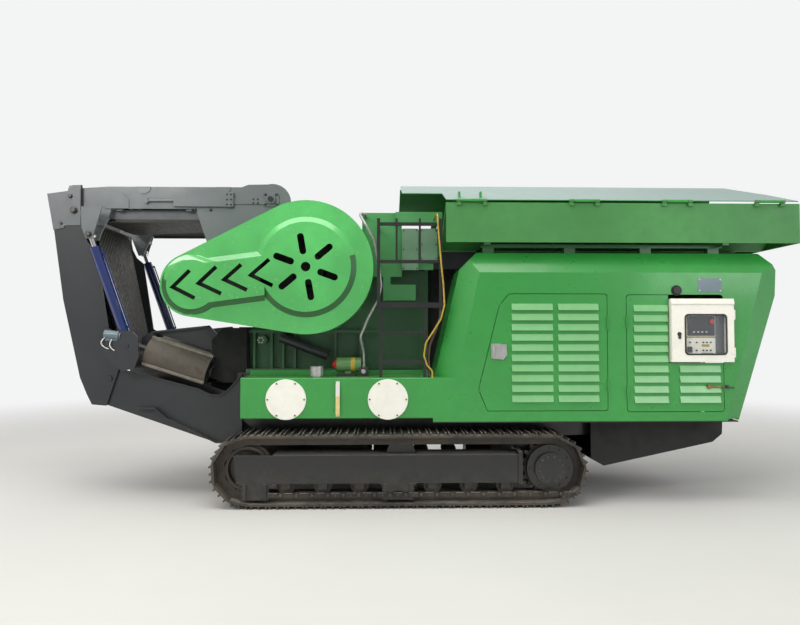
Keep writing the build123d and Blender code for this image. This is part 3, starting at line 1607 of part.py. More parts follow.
pivot_plate_outline = (
    (-3704, 3037),
    (-3500, 3066),
    (-3485, 3120),
    (-3368, 3123),
    (-3368, 2721),
    (-3525, 2716),
    (-3534, 2695),
    (-3636, 2672),
)
cylinder_pin_radius = 20
with BuildPart() as conveyor_mid:
    with BuildSketch(side(-fold_plate)):
        Polygon(*mid_plate_outline, align=None)
        with Locations(fold_low):
            Circle(pin_radius + pin_clearance, mode=Mode.SUBTRACT)
    extrude(amount=plate_thick)
    with BuildSketch(side(-fold_plate)):
        Polygon(*base_lug_outline, align=None)
    extrude(amount=base_lug_thick)
    with BuildSketch(side(cylinder_y - fork_gap)):
        Polygon(*outer_lug_outline, align=None)
        fillet(vertices(), 30)
    extrude(amount=fork_thick)
    box_between(
        (lug_web[0] + 10, cylinder_y - fork_gap, lug_web[2] + 10), (lug_web[1], -fold_plate, lug_web[3] - 10)
    )
    with BuildSketch(side(-fold_plate - plate_thick)):
        Polygon(*pivot_plate_outline, align=None)
    extrude(amount=pivot_plate_thick)
    cross_tube(
        cylinder_base[0], cylinder_base[1], cylinder_pin_radius,
        cylinder_y - fork_gap - fork_thick - 10, -fold_plate - base_lug_thick,
    )
    cross_tube(fold_high[0], fold_high[1], pin_radius, -fold_plate, -fixed_plate + 20)
    mirror(about=Plane.XZ)
    section_tubes(
        fold_low, mid_angle, ((400, 240), (mid_length / 2, 240), (mid_length - 400, 240)), fold_plate
    )
    drum_pair(fold_low, mid_angle, ((mid_drums[0], fold_plate), (mid_drums[1], fold_plate)))
conveyor_mid.part.label = "conveyor_mid"
export_step(conveyor_mid.part, "parts/conveyor_mid.step")

with BuildPart() as mid_belt:
    belt_loop(fold_low, mid_angle, *mid_drums)
mid_belt.part.label = "mid_belt"
export_step(mid_belt.part, "parts/mid_belt.step")

# Head section: beams, gussets to the cylinders, belt tensioners and the chute plates at the end
head_bottom = 2896
head_plate_outline = (
    (-3480, 2835),
    (-3480, 2930),
    (-3400, 3100),
    (-3107, 3120),
    (-1767, 3120),
    (-1700, 3146),
    (-1444, 3152),
    (-1545, head_bottom),
    (-3077, head_bottom),
    (-3100, 2800),
    (-3170, 2650),
    (-3200, 2570),
    (-3260, 2565),
    (-3290, 2640),
    (-3350, 2790),
)
chute_outline = (
    (-2230, head_bottom + 1),
    (-2109, 2548),
    (-1640, 2548),
    (-1545, head_bottom + 1),
)
gusset_outline = (
    # outer plate over the rod's eye
    (-3318, 2890),
    (-3110, 2890),
    (-3186, 2640),
    (-3205, 2572),
    (-3268, 2572),
    (-3312, 2690),
)
gusset_web_low, gusset_web_high = (-3185, 2710), (-3150, 2750)
doubler_outline = (
    (-3143, head_bottom),
    (-3143, 3065),
    (-3123, 3076),
    (-2991, 3076),
    (-2899, 2989),
    (-2899, head_bottom),
)
doubler_thick = 8
pad_radius, pad_places, pad_z = 75, (-2754, -1950), 3120
tensioner_low, tensioner_high, tensioner_reach = (-2445, 2916), (-1841, 3057), 30
slide_right, slide_half, rod_left, rod_lug = -1539, 30, -2704, 26
tension_rod_z, tension_rod_radius = 2976, 12
head_centre = (fold_high[0] + head_drum[0], fold_high[1] + head_drum[1])
nose_radius = 190
with BuildPart() as conveyor_head:
    with BuildSketch(side(-fixed_plate)):
        Polygon(*head_plate_outline, align=None)
        Polygon(*chute_outline, align=None)
        with Locations(head_centre):
            Circle(nose_radius)
        with Locations(fold_high):
            Circle(pin_radius + pin_clearance, mode=Mode.SUBTRACT)
    extrude(amount=plate_thick)
    with BuildSketch(side(-fixed_plate - plate_thick)):
        Polygon(*doubler_outline, align=None)
        with Locations(*[(pad_x, pad_z) for pad_x in pad_places]):
            Circle(pad_radius)
        with Locations((sum(pad_places) / 2, pad_z + pad_radius)):
            Rectangle(3000, 2 * pad_radius, mode=Mode.SUBTRACT)
    extrude(amount=doubler_thick)
    box_between(
        (tensioner_low[0], -fixed_plate - plate_thick - tensioner_reach, tensioner_low[1]),
        (tensioner_high[0], -fixed_plate, tensioner_high[1]),
    )
    box_between(
        (tensioner_high[0], -fixed_plate - plate_thick - 10, tension_rod_z - slide_half),
        (slide_right, -fixed_plate, tension_rod_z + slide_half),
    )
    box_between(
        (rod_left - rod_lug, -fixed_plate - plate_thick - tensioner_reach, tension_rod_z - rod_lug),
        (rod_left, -fixed_plate, tension_rod_z + rod_lug),
    )
    with BuildSketch(Plane.YZ.offset(rod_left)):
        with Locations((-fixed_plate - plate_thick - tensioner_reach / 2, tension_rod_z)):
            Circle(tension_rod_radius)
    extrude(amount=tensioner_low[0] - rod_left)
    with BuildSketch(side(cylinder_y - cylinder_half_width - 4)):
        Polygon(*gusset_outline, align=None)
    extrude(amount=fork_thick)
    box_between(
        (gusset_web_low[0], cylinder_y - cylinder_half_width - 4, gusset_web_low[1]),
        (gusset_web_high[0], -fixed_plate, gusset_web_high[1]),
    )
    cross_tube(
        cylinder_pin[0], cylinder_pin[1], 36, cylinder_y + cylinder_half_width + 6, -fixed_plate
    )
    mirror(about=Plane.XZ)
    section_tubes(fold_high, head_angle, ((520, 48), (1000, 62), (1640, 80)), fixed_plate)
    drum_pair(fold_high, head_angle, ((head_drums[0], fixed_plate), (head_drums[1], fixed_plate)))
conveyor_head.part.label = "conveyor_head"
export_step(conveyor_head.part, "parts/conveyor_head.step")

with BuildPart() as head_belt:
    belt_loop(fold_high, head_angle, *head_drums)
head_belt.part.label = "head_belt"
export_step(head_belt.part, "parts/head_belt.step")

# Skirt boards along the head section, each with a rubber strip
skirt_half, skirt_bottom_z, skirt_top_z, rubber_drop = 560, 2797, 2890, 31
with BuildPart() as belt_skirts:
    box_between((-3090, -skirt_half - 10, skirt_bottom_z), (-2190, -skirt_half, skirt_top_z))
    box_between(
        (-3060, -skirt_half - 12, skirt_bottom_z - rubber_drop), (-2190, -skirt_half - 2, skirt_bottom_z)
    )
    for stay_x in (-3000, -2300):
        box_between(
            (stay_x - 30, -fixed_plate, skirt_top_z - 15), (stay_x + 30, -skirt_half - 10, head_bottom + 9)
        )
    mirror(about=Plane.XZ)
belt_skirts.part.label = "belt_skirts"
export_step(belt_skirts.part, "parts/belt_skirts.step")

# Fold cylinders, outside the plates on both sides
cylinder_run = Vector(cylinder_pin[0] - cylinder_base[0], 0, cylinder_pin[1] - cylinder_base[1])
cylinder_closed = cylinder_run.length
barrel_radius, barrel_bore, rod_radius = 50, 26, 25
barrel_start, barrel_end, rod_start, eye_radius = 70, 1035, 440, 46
pipe_radius, pipe_reach, pipe_start, pipe_end = 7, 64, 170, 980
cylinder_plane = Plane(
    origin=(cylinder_base[0], cylinder_y, cylinder_base[1]), x_dir=(0, 1, 0), z_dir=cylinder_run
)


def cylinder_eye(place):
    """Eye at one end of a fold cylinder."""
    cross_tube(
        place[0], place[1], eye_radius, cylinder_y - cylinder_half_width, cylinder_y + cylinder_half_width
    )
    cross_tube(
        place[0], place[1], cylinder_pin_radius + pin_clearance,
        cylinder_y - cylinder_half_width, cylinder_y + cylinder_half_width, mode=Mode.SUBTRACT,
    )


with BuildPart() as fold_barrels:
    with BuildSketch(cylinder_plane.offset(eye_radius - 8)):
        Circle(barrel_radius - 14)
    extrude(amount=barrel_start - eye_radius + 9)
    with BuildSketch(cylinder_plane.offset(barrel_start)):
        Circle(barrel_radius)
    extrude(amount=barrel_end - barrel_start)
    with BuildSketch(cylinder_plane.offset(barrel_start + 30)):
        Circle(barrel_bore)
    extrude(amount=barrel_end - barrel_start, mode=Mode.SUBTRACT)
    with BuildSketch(cylinder_plane.offset(pipe_start)):
        with Locations((0, -pipe_reach)):
            Circle(pipe_radius)
    extrude(amount=pipe_end - pipe_start)
    for stub in (pipe_start, pipe_end - 2 * pipe_radius - 6):
        with BuildSketch(cylinder_plane.offset(stub)):
            with Locations((0, -(pipe_reach + barrel_radius - 6) / 2)):
                Rectangle(2 * pipe_radius, pipe_reach - barrel_radius + 6)
        extrude(amount=2 * pipe_radius + 6)
    cylinder_eye(cylinder_base)
    mirror(about=Plane.XZ)
fold_barrels.part.label = "fold_barrels"
export_step(fold_barrels.part, "parts/fold_barrels.step")

with BuildPart() as fold_rods:
    with BuildSketch(cylinder_plane.offset(rod_start)):
        Circle(rod_radius)
    extrude(amount=cylinder_closed - rod_start - cylinder_pin_radius - 5)
    cylinder_eye(cylinder_pin)
    mirror(about=Plane.XZ)
fold_rods.part.label = "fold_rods"
export_step(fold_rods.part, "parts/fold_rods.step")

# Magnet: a cleated belt across the machine, round two drums, over the lower section
magnet_centre = Vector(-2386, 0, 1355)
magnet_lean = radians(-17.8)
magnet_along = Vector(cos(magnet_lean), 0, sin(magnet_lean))
magnet_drum_y, magnet_radius, magnet_belt_thick = 590, 136, 12
magnet_half = 320
magnet_cleat = (24, 26)
upper_cleats, lower_cleats = (-308, 25, 358), (-356, -23, 310)
near_cleat_turns, far_cleat_turns = (-52, 71), (52, -71)
magnet_plane = Plane(origin=magnet_centre, x_dir=(0, 1, 0), z_dir=magnet_along)
magnet_ends = ((-magnet_drum_y, 0), (magnet_drum_y, 0))
with BuildPart() as magnet_belt:
    with BuildSketch(magnet_plane.offset(-magnet_half)):
        tangent_hull(
            magnet_ends[0],
            magnet_radius + magnet_belt_thick,
            magnet_ends[1],
            magnet_radius + magnet_belt_thick,
        )
        tangent_hull(magnet_ends[0], magnet_radius, magnet_ends[1], magnet_radius, mode=Mode.SUBTRACT)
        reach = magnet_radius + magnet_belt_thick + magnet_cleat[0] / 2 - 2
        for hand, cleat_places in ((1, upper_cleats), (-1, lower_cleats)):
            for cleat_y in cleat_places:
                with Locations((cleat_y, hand * reach)):
                    Rectangle(magnet_cleat[1], magnet_cleat[0])
        for hand, cleat_turns in ((-1, near_cleat_turns), (1, far_cleat_turns)):
            for cleat_turn in cleat_turns:
                angle = radians(cleat_turn)
                place = (hand * (magnet_drum_y + reach * cos(angle)), reach * sin(angle), 0)
                with Locations(Location(place, (0, 0, hand * cleat_turn))):
                    Rectangle(magnet_cleat[0], magnet_cleat[1])
    extrude(amount=2 * magnet_half)
magnet_belt.part.label = "magnet_belt"
export_step(magnet_belt.part, "parts/magnet_belt.step")

magnet_plate = 15
hanger_outline = (
    (-2800, 1440),
    (-2800, 1590),
    (-2690, 1655),
    (-2110, 1715),
    (-1893, 1470),
    (-1722, 1300),
    (-1722, bed_top),
    (rail_left, bed_top),
    (rail_left - 60, 1190),
    (-2057, 1186),
    (-2086, 1196),
    (-2011, 1429),
    (-2647, 1633),
    (-2704, 1457),
    (-2706, 1440),
)
hanger_thick, hanger_flange = 14, 40
hanger_edge = ((-2690, 1645), (-2120, 1704))
with BuildPart() as magnet_frame:
    with BuildSketch(magnet_plane.offset(-magnet_half + 5)):
        with Locations(*magnet_ends):
            Circle(magnet_radius - running_gap)
    extrude(amount=2 * magnet_half - 10)
    with BuildSketch(magnet_plane.offset(-magnet_half - magnet_plate)):
        Rectangle(800, 200)
        with Locations(*magnet_ends):
            Circle(28)
    extrude(amount=2 * (magnet_half + magnet_plate))
    for plate_start in (-magnet_half - 2 * magnet_plate, magnet_half + magnet_plate):
        with BuildSketch(magnet_plane.offset(plate_start)):
            tangent_hull(magnet_ends[0], 62, magnet_ends[1], 62)
        extrude(amount=magnet_plate)
    for hanger_y in (-rail_inner - 1, rail_inner + 1 + hanger_thick):
        with BuildSketch(side(hanger_y)):
            Polygon(*hanger_outline, align=None)
        extrude(amount=hanger_thick)
    for edge_y in (-rail_inner - 1 - hanger_thick, rail_inner + 1 + hanger_thick + hanger_flange):
        with BuildSketch(side(edge_y)):
            with BuildLine():
                edge = Polyline(*hanger_edge)
            trace(edge, line_width=18)
        extrude(amount=hanger_flange)
magnet_frame.part.label = "magnet_frame"
export_step(magnet_frame.part, "parts/magnet_frame.step")

with BuildPart() as magnet_motor:
    with BuildSketch(magnet_plane.offset(-magnet_half - 2 * magnet_plate - 120)):
        with Locations(magnet_ends[0]):
            Circle(44)
    extrude(amount=120)
magnet_motor.part.label = "magnet_motor"
export_step(magnet_motor.part, "parts/magnet_motor.step")
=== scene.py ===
import bmesh
import bpy
import math
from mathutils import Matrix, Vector


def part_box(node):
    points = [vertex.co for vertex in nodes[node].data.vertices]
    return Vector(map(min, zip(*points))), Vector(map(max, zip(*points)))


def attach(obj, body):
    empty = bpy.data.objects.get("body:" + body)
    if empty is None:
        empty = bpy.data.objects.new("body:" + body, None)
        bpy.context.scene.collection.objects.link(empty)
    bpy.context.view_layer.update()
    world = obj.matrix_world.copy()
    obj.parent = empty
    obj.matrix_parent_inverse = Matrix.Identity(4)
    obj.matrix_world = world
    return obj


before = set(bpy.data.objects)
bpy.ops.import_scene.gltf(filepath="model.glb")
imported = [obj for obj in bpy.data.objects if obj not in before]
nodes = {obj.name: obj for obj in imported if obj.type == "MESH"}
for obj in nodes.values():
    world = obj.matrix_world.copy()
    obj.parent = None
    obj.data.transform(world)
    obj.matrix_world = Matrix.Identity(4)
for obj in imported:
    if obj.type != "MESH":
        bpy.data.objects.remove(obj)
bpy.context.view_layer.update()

# Camera: at the photograph's place, with the photograph's width and focal length in pixels
PHOTO_WIDTH, FOCAL_LENGTH, SENSOR_WIDTH = 800, 660, 36
CAMERA_PLACE = (-0.326, -7.35, 1.626)
CAMERA_YAW, CAMERA_PITCH = 1.47, 1.87
camera_data = bpy.data.cameras.new("camera")
camera_data.lens = SENSOR_WIDTH * FOCAL_LENGTH / PHOTO_WIDTH
camera = bpy.data.objects.new("camera", camera_data)
bpy.context.scene.collection.objects.link(camera)
camera.location = CAMERA_PLACE
camera.rotation_euler = (math.radians(90 + CAMERA_PITCH), 0, math.radians(-CAMERA_YAW))
bpy.context.scene.camera = camera
bpy.context.scene.view_settings.view_transform = "Standard"


# Materials: each is a small graph of noises over the object's own coordinates

class Graph:
    """A material's node graph, with short calls for the nodes used here."""

    def __init__(self, name):
        self.material = bpy.data.materials.new(name)
        self.material.use_nodes = True
        self.tree = self.material.node_tree
        self.tree.nodes.clear()
        self.output = self.new("ShaderNodeOutputMaterial")
        self.shader = self.new("ShaderNodeBsdfPrincipled")
        self.tree.links.new(self.shader.outputs[0], self.output.inputs[0])
        self.place = self.new("ShaderNodeTexCoord").outputs["Object"]

    def new(self, kind):
        return self.tree.nodes.new(kind)

    def put(self, socket, value):
        """Links a socket or sets a number or a colour."""
        if isinstance(value, bpy.types.NodeSocket):
            self.tree.links.new(value, socket)
        elif isinstance(value, tuple) and len(value) == 3 and socket.type == "RGBA":
            socket.default_value = (*value, 1)
        else:
            socket.default_value = value

    def fill(self, node, **values):
        """Puts values into inputs, From_Min being the input named From Min."""
        for key, value in values.items():
            self.put(node.inputs[key.replace("_", " ")], value)

    def noise(self, scale, detail=3, rough=0.55, stretch=None):
        node = self.new("ShaderNodeTexNoise")
        place = self.place
        if stretch:
            mapping = self.new("ShaderNodeMapping")
            self.fill(mapping, Scale=stretch, Vector=place)
            place = mapping.outputs[0]
        self.fill(node, Vector=place, Scale=scale, Detail=detail, Roughness=rough)
        return node.outputs["Fac"]

    def band(self, value, low, high, out_low=0.0, out_high=1.0):
        """Smooth step from out_low to out_high as the value goes from low to high."""
        node = self.new("ShaderNodeMapRange")
        node.interpolation_type = "SMOOTHSTEP"
        self.fill(node, Value=value, From_Min=low, From_Max=high, To_Min=out_low, To_Max=out_high)
        return node.outputs[0]

    def math(self, kind, a, b=0.0):
        node = self.new("ShaderNodeMath")
        node.operation = kind
        self.put(node.inputs[0], a)
        self.put(node.inputs[1], b)
        return node.outputs[0]

    def times(self, a, b):
        return self.math("MULTIPLY", a, b)

    def plus(self, a, b):
        return self.math("ADD", a, b)

    def mix(self, share, a, b):
        """Colour between a and b."""
        node = self.new("ShaderNodeMix")
        node.data_type = "RGBA"
        for socket, value in zip((node.inputs[0], node.inputs[6], node.inputs[7]), (share, a, b)):
            self.put(socket, value)
        return node.outputs[2]

    def split(self, vector):
        node = self.new("ShaderNodeSeparateXYZ")
        self.put(node.inputs[0], vector)
        return node.outputs

    def height(self):
        return self.split(self.place)[2]

    def upward(self):
        return self.split(self.new("ShaderNodeNewGeometry").outputs["Normal"])[2]

    def bump(self, value, strength, distance, under=None):
        node = self.new("ShaderNodeBump")
        self.fill(node, Strength=strength, Distance=distance, Height=value)
        if under is not None:
            self.put(node.inputs["Normal"], under)
        return node.outputs[0]

    def done(self, color, rough, normal):
        self.fill(self.shader, Base_Color=color, Roughness=rough, Normal=normal)
        return self.material


def shade(color, factor):
    return tuple(min(1.0, c * factor) for c in color)


DRY_DUST, BARE_CHIP = (0.42, 0.37, 0.30), (0.12, 0.10, 0.085)
RUBBED_STEEL, GRIME = (0.42, 0.40, 0.36), (0.02, 0.018, 0.016)
RIB_PITCH, RIB_SLANT, RIB_DUST = 0.052, 0.8, (0.15, 0.135, 0.115)


def painted(
    name, color, rough=0.3, coat=0.5, dust_share=0.35, wave=0.004, foot=0.9, patch=0.14, glance_sky_reflection=None
):
    """Sprayed steel: uneven tone, wavy sheet, small chips, dust on top and up to the foot's height.

    Where a glance colour is given, the sheet takes it when it is seen at a low angle: a painted reflection
    of the sky.
    """
    g = Graph(name)
    large = g.noise(0.7, 4, 0.6)
    fine = g.noise(9, 5, 0.6)
    speck = g.noise(70, 3, 0.5)
    tone = g.mix(g.band(large, 0.3, 0.7), shade(color, 1 - patch), shade(color, 1 + patch))
    tone = g.mix(g.band(fine, 0.35, 0.75, 0, 0.35), tone, shade(color, 0.8))
    low = g.times(g.band(g.height(), 0.1, foot, 0.75, 0.0), g.band(fine, 0.3, 0.7))
    clouds = g.band(g.noise(3.5, 5, 0.65), 0.25, 0.7, 0.35, 1.0)
    top = g.times(g.band(g.upward(), 0.75, 0.98), clouds)
    dirt = g.times(g.math("MAXIMUM", low, top), dust_share)
    tone = g.mix(dirt, tone, DRY_DUST)
    # Painted reflection: where the sheet is seen at a low angle it takes the colour of the sky's reflection
    if glance_sky_reflection:
        weight = g.new("ShaderNodeLayerWeight")
        g.fill(weight, Blend=0.5)
        tone = g.mix(g.band(weight.outputs["Facing"], 0.74, 0.90), tone, glance_sky_reflection)
    chips = g.times(g.band(speck, 0.70, 0.74), g.band(g.noise(5, 3), 0.52, 0.66))
    tone = g.mix(g.times(chips, 0.6), tone, BARE_CHIP)
    worn = g.plus(g.band(fine, 0.3, 0.8, rough - 0.05, rough + 0.10), g.times(dirt, 0.5))
    g.fill(g.shader, Coat_Weight=coat, Coat_Roughness=0.12)
    wavy = g.bump(g.noise(1.8, 2, 0.4), 0.5, wave)
    return g.done(tone, worn, g.bump(speck, 0.06, 0.001, wavy))


def steel(name, color, rust, rough=0.45, metallic=0.85, worn=0.0):
    """Bare or greasy steel with rust and dried mud in patches, rubbed brighter where it faces up."""
    g = Graph(name)
    large = g.noise(2.2, 5, 0.6)
    fine = g.noise(12, 6, 0.65)
    speck = g.noise(72, 4, 0.6)
    tone = g.mix(g.band(fine, 0.35, 0.7), shade(color, 0.75), shade(color, 1.2))
    rusty = g.times(g.band(g.plus(large, g.times(speck, 0.25)), 0.5, 0.78), 0.5)
    tone = g.mix(rusty, tone, rust)
    tone = g.mix(g.band(speck, 0.55, 0.75, 0, 0.5), tone, GRIME)
    if worn:
        rubbed = g.times(g.band(g.upward(), 0.55, 0.95, 0, worn), g.band(fine, 0.25, 0.6, 0.4, 1))
        tone = g.mix(rubbed, tone, RUBBED_STEEL)
    g.fill(g.shader, Metallic=g.band(rusty, 0.0, 0.5, metallic, metallic * 0.2))
    relief = g.bump(speck, 0.25, 0.002, g.bump(fine, 0.2, 0.004))
    return g.done(tone, g.band(fine, 0.3, 0.75, rough, rough + 0.25), relief)


def rubber(name, color, dust, dust_share=0.45, along=None):
    """Belt rubber, scuffed and dusty, with fine fishbone ribs where its run (x, z) is given."""
    g = Graph(name)
    fine = g.noise(16, 6, 0.65)
    streak = g.noise(5, 4, 0.6, (0.25, 3.0, 0.25))
    tone = g.mix(g.band(fine, 0.3, 0.7), shade(color, 0.8), shade(color, 1.25))
    scuffs = g.plus(g.times(fine, 0.5), g.times(streak, 0.5))
    tone = g.mix(g.times(g.band(scuffs, 0.38, 0.66), dust_share), tone, dust)
    relief = g.bump(g.noise(120, 3), 0.2, 0.001)
    if along:
        x, y, z = g.split(g.place)
        run = g.plus(g.times(x, along[0]), g.times(z, along[1]))
        slant = g.plus(run, g.times(g.math("ABSOLUTE", y), RIB_SLANT))
        high = g.band(g.math("SINE", g.times(slant, 2 * math.pi / RIB_PITCH)), 0.1, 0.8)
        relief = g.bump(high, 0.9, 0.006, relief)
        tone = g.mix(g.times(high, 0.75), tone, RIB_DUST)
    return g.done(tone, g.band(fine, 0.3, 0.8, 0.5, 0.8), relief)


def plastic(name, color, rough=0.4, metallic=0.0, patch=0.1):
    """Moulded or plated small pieces, a little uneven and handled."""
    g = Graph(name)
    fine = g.noise(40, 4, 0.6)
    tone = g.mix(g.band(fine, 0.3, 0.75), shade(color, 1 - patch), shade(color, 1 + patch))
    g.fill(g.shader, Metallic=metallic)
    handled = g.band(fine, 0.3, 0.8, max(0.02, rough - 0.06), rough + 0.12)
    return g.done(tone, handled, g.bump(g.noise(260, 2), 0.05, 0.0004))


def clear(name, color, alpha):
    """Window pane with a smeared face."""
    g = Graph(name)
    smear = g.band(g.noise(6, 5, 0.6), 0.3, 0.8, 0.04, 0.16)
    g.fill(g.shader, Base_Color=color, Alpha=alpha, Roughness=smear, Coat_Weight=0.6)
    return g.material


def gauge_plastic(name, level):
    """Level gauge: white above this height, yellow below."""
    g = Graph(name)
    yellow = g.mix(g.band(g.noise(40, 4, 0.6), 0.3, 0.75), (0.66, 0.53, 0.20), (0.74, 0.62, 0.30))
    tone = g.mix(g.band(g.height(), level - 0.005, level + 0.005), yellow, (0.72, 0.71, 0.66))
    return g.done(tone, 0.3, g.bump(g.noise(260, 2), 0.05, 0.0004))


GREEN = (0.030, 0.285, 0.046)
green = painted("green_paint", GREEN, 0.32, 0.4, dust_share=0.22, patch=0.10)
# Guard: its strong patches of tone are partly uneven paint and partly painted reflection blotches
guard_green = painted(
    "green_paint_guard", (0.082, 0.440, 0.108), 0.22, 0.7, dust_share=0.18, wave=0.035, patch=0.24
)
# Painted shade: a dark copy of the guard's green for its bevel faces that do not look up
guard_bevel_painted_shade = painted("green_paint_guard_bevel_painted_shade", (0.014, 0.110, 0.020), 0.45, 0.1, 0.05, patch=0.1)
# Painted shade: a near-black colour for dark sheets put where gaps and openings are in shade
painted_shade_black = painted("painted_shade_paint", (0.004, 0.0045, 0.004), 0.8, 0.0, dust_share=0.05, patch=0.1)
plate_green = painted("green_paint_plate", (0.115, 0.235, 0.135), 0.45, 0.15, dust_share=0.3, patch=0.15)
valve_green = painted("valve_paint", (0.10, 0.24, 0.075), 0.4, 0.3, dust_share=0.3, patch=0.15)
# Wings: green paint, and a painted reflection of the sky where their face is seen at a low angle
wing_green_with_painted_reflection = painted(
    "green_paint_wing_painted_reflection", GREEN, 0.6, 0.0, dust_share=0.15, patch=0.1, glance_sky_reflection=(0.285, 0.365, 0.345)
)
# Painted highlight: the pale line along the top faces of the track frames
top_highlight_grey = painted("top_highlight_paint", (0.13, 0.13, 0.125), 0.4, 0.2, dust_share=0.3, patch=0.2)
tail_black = painted("tail_paint", (0.008, 0.0085, 0.008), 0.62, 0.0, dust_share=0.12, foot=0.5, patch=0.2)
hopper_green = painted(
    "green_paint_hopper", (0.050, 0.232, 0.052), 0.55, 0.05, dust_share=0.3, wave=0.006
)
chute_green = painted("green_paint_chute", (0.055, 0.270, 0.075), 0.5, 0.15, dust_share=0.5, patch=0.2)
# Painted highlight: a pale copy of the green for the louvre blades that look up
louvre_painted_highlight_green = painted("green_paint_louvre_painted_highlight", (0.20, 0.50, 0.20), 0.35, 0.4, dust_share=0.1, patch=0.06)
# Painted shade: a dark copy of the green for the undersides of the louvres
louvre_painted_shade_green = painted("green_paint_louvre_painted_shade", (0.012, 0.075, 0.018), 0.5, 0.1, dust_share=0.1)
# Painted shade: a darkened copy of the green for parts that stand in shade under the hopper, the guard and
# the hood
shade_painted_green = painted("green_paint_painted_shade", (0.022, 0.115, 0.034), 0.45, 0.2, dust_share=0.35, patch=0.18)
charcoal = painted("charcoal_paint", (0.020, 0.023, 0.026), 0.42, 0.15, dust_share=0.22, patch=0.22)
head_grey = painted("head_paint", (0.120, 0.135, 0.140), 0.36, 0.3, dust_share=0.25, patch=0.12)
skirt_grey = painted("skirt_paint", (0.085, 0.093, 0.100), 0.42, 0.2, dust_share=0.3, patch=0.12)
frame_black = painted("frame_paint", (0.0115, 0.0115, 0.011), 0.34, 0.25, 0.10, foot=0.5, patch=0.1)
ladder_black = painted("ladder_paint", (0.010, 0.010, 0.010), 0.38, 0.2, dust_share=0.1, patch=0.2)
pale = painted("cabinet_paint", (0.88, 0.86, 0.76), 0.3, 0.35, dust_share=0.15, wave=0.0005, patch=0.03)
white = painted("cover_paint", (0.86, 0.85, 0.76), 0.4, 0.15, dust_share=0.12, wave=0.001, patch=0.03)
blue = painted("cylinder_paint", (0.007, 0.018, 0.110), 0.12, 1.0, dust_share=0.2, wave=0.0005)
plate_blue = painted("nameplate_paint", (0.115, 0.160, 0.190), 0.35, 0.3, dust_share=0.1, wave=0.0005)
track_steel = steel("track_steel", (0.070, 0.064, 0.056), (0.09, 0.065, 0.042), 0.42, 0.55, worn=0.55)
link_steel = steel("link_steel", (0.040, 0.037, 0.034), (0.06, 0.045, 0.03), 0.38, 0.6, worn=1.0)
wheel_steel = steel("wheel_steel", (0.075, 0.070, 0.062), (0.09, 0.06, 0.035), 0.4, 0.6, worn=0.3)
flywheel_steel = steel("flywheel_steel", (0.020, 0.020, 0.019), (0.03, 0.02, 0.014), 0.5, 0.4)
jaw_steel = steel("jaw_steel", (0.24, 0.22, 0.20), (0.20, 0.11, 0.06), 0.4, 0.8)
motor_iron = painted("motor_paint", (0.022, 0.023, 0.022), 0.45, 0.15, dust_share=0.3)
engine_iron = painted("engine_paint", (0.060, 0.062, 0.058), 0.5, 0.1, dust_share=0.5)
BELT, BELT_DUST = (0.022, 0.020, 0.018), (0.075, 0.066, 0.054)
belt = rubber("belt_rubber", BELT, BELT_DUST)
lower_rubber = rubber("belt_rubber_lower", BELT, BELT_DUST, along=(0.90, 0.43))
mid_rubber = rubber("belt_rubber_middle", BELT, BELT_DUST, along=(0.20, 0.98))
head_rubber = rubber("belt_rubber_head", BELT, BELT_DUST, along=(1.0, 0.0))
drum_rubber = rubber("magnet_rubber", (0.070, 0.058, 0.044), (0.13, 0.11, 0.085), 0.4)
cleat_rubber = rubber("cleat_rubber", (0.20, 0.18, 0.155), (0.26, 0.24, 0.20), 0.4)
cable_brown = rubber("cable_brown", (0.055, 0.035, 0.022), (0.12, 0.10, 0.075), 0.3)
cable_yellow = plastic("cable_yellow", (0.44, 0.31, 0.03), 0.45, 0.0, 0.25)
chrome = plastic("chrome", (0.72, 0.72, 0.73), 0.12, 1.0, 0.03)
zinc = plastic("zinc", (0.50, 0.50, 0.48), 0.34, 0.9)
dark_zinc = plastic("dark_zinc", (0.10, 0.10, 0.095), 0.42, 0.8, 0.25)
sleeve = plastic("hose_sleeve", (0.36, 0.36, 0.34), 0.4, 0.55, 0.2)
black_plastic = plastic("black_plastic", (0.016, 0.016, 0.018), 0.45)
white_plastic = plastic("white_plastic", (0.70, 0.69, 0.64), 0.4)
red_plastic = plastic("red_plastic", (0.52, 0.02, 0.015), 0.3)
brass = plastic("brass", (0.30, 0.20, 0.07), 0.4, 0.8, 0.3)
glass = clear("window_glass", (0.35, 0.38, 0.40), 0.10)
gauge = gauge_plastic("gauge_plastic", 1.040)

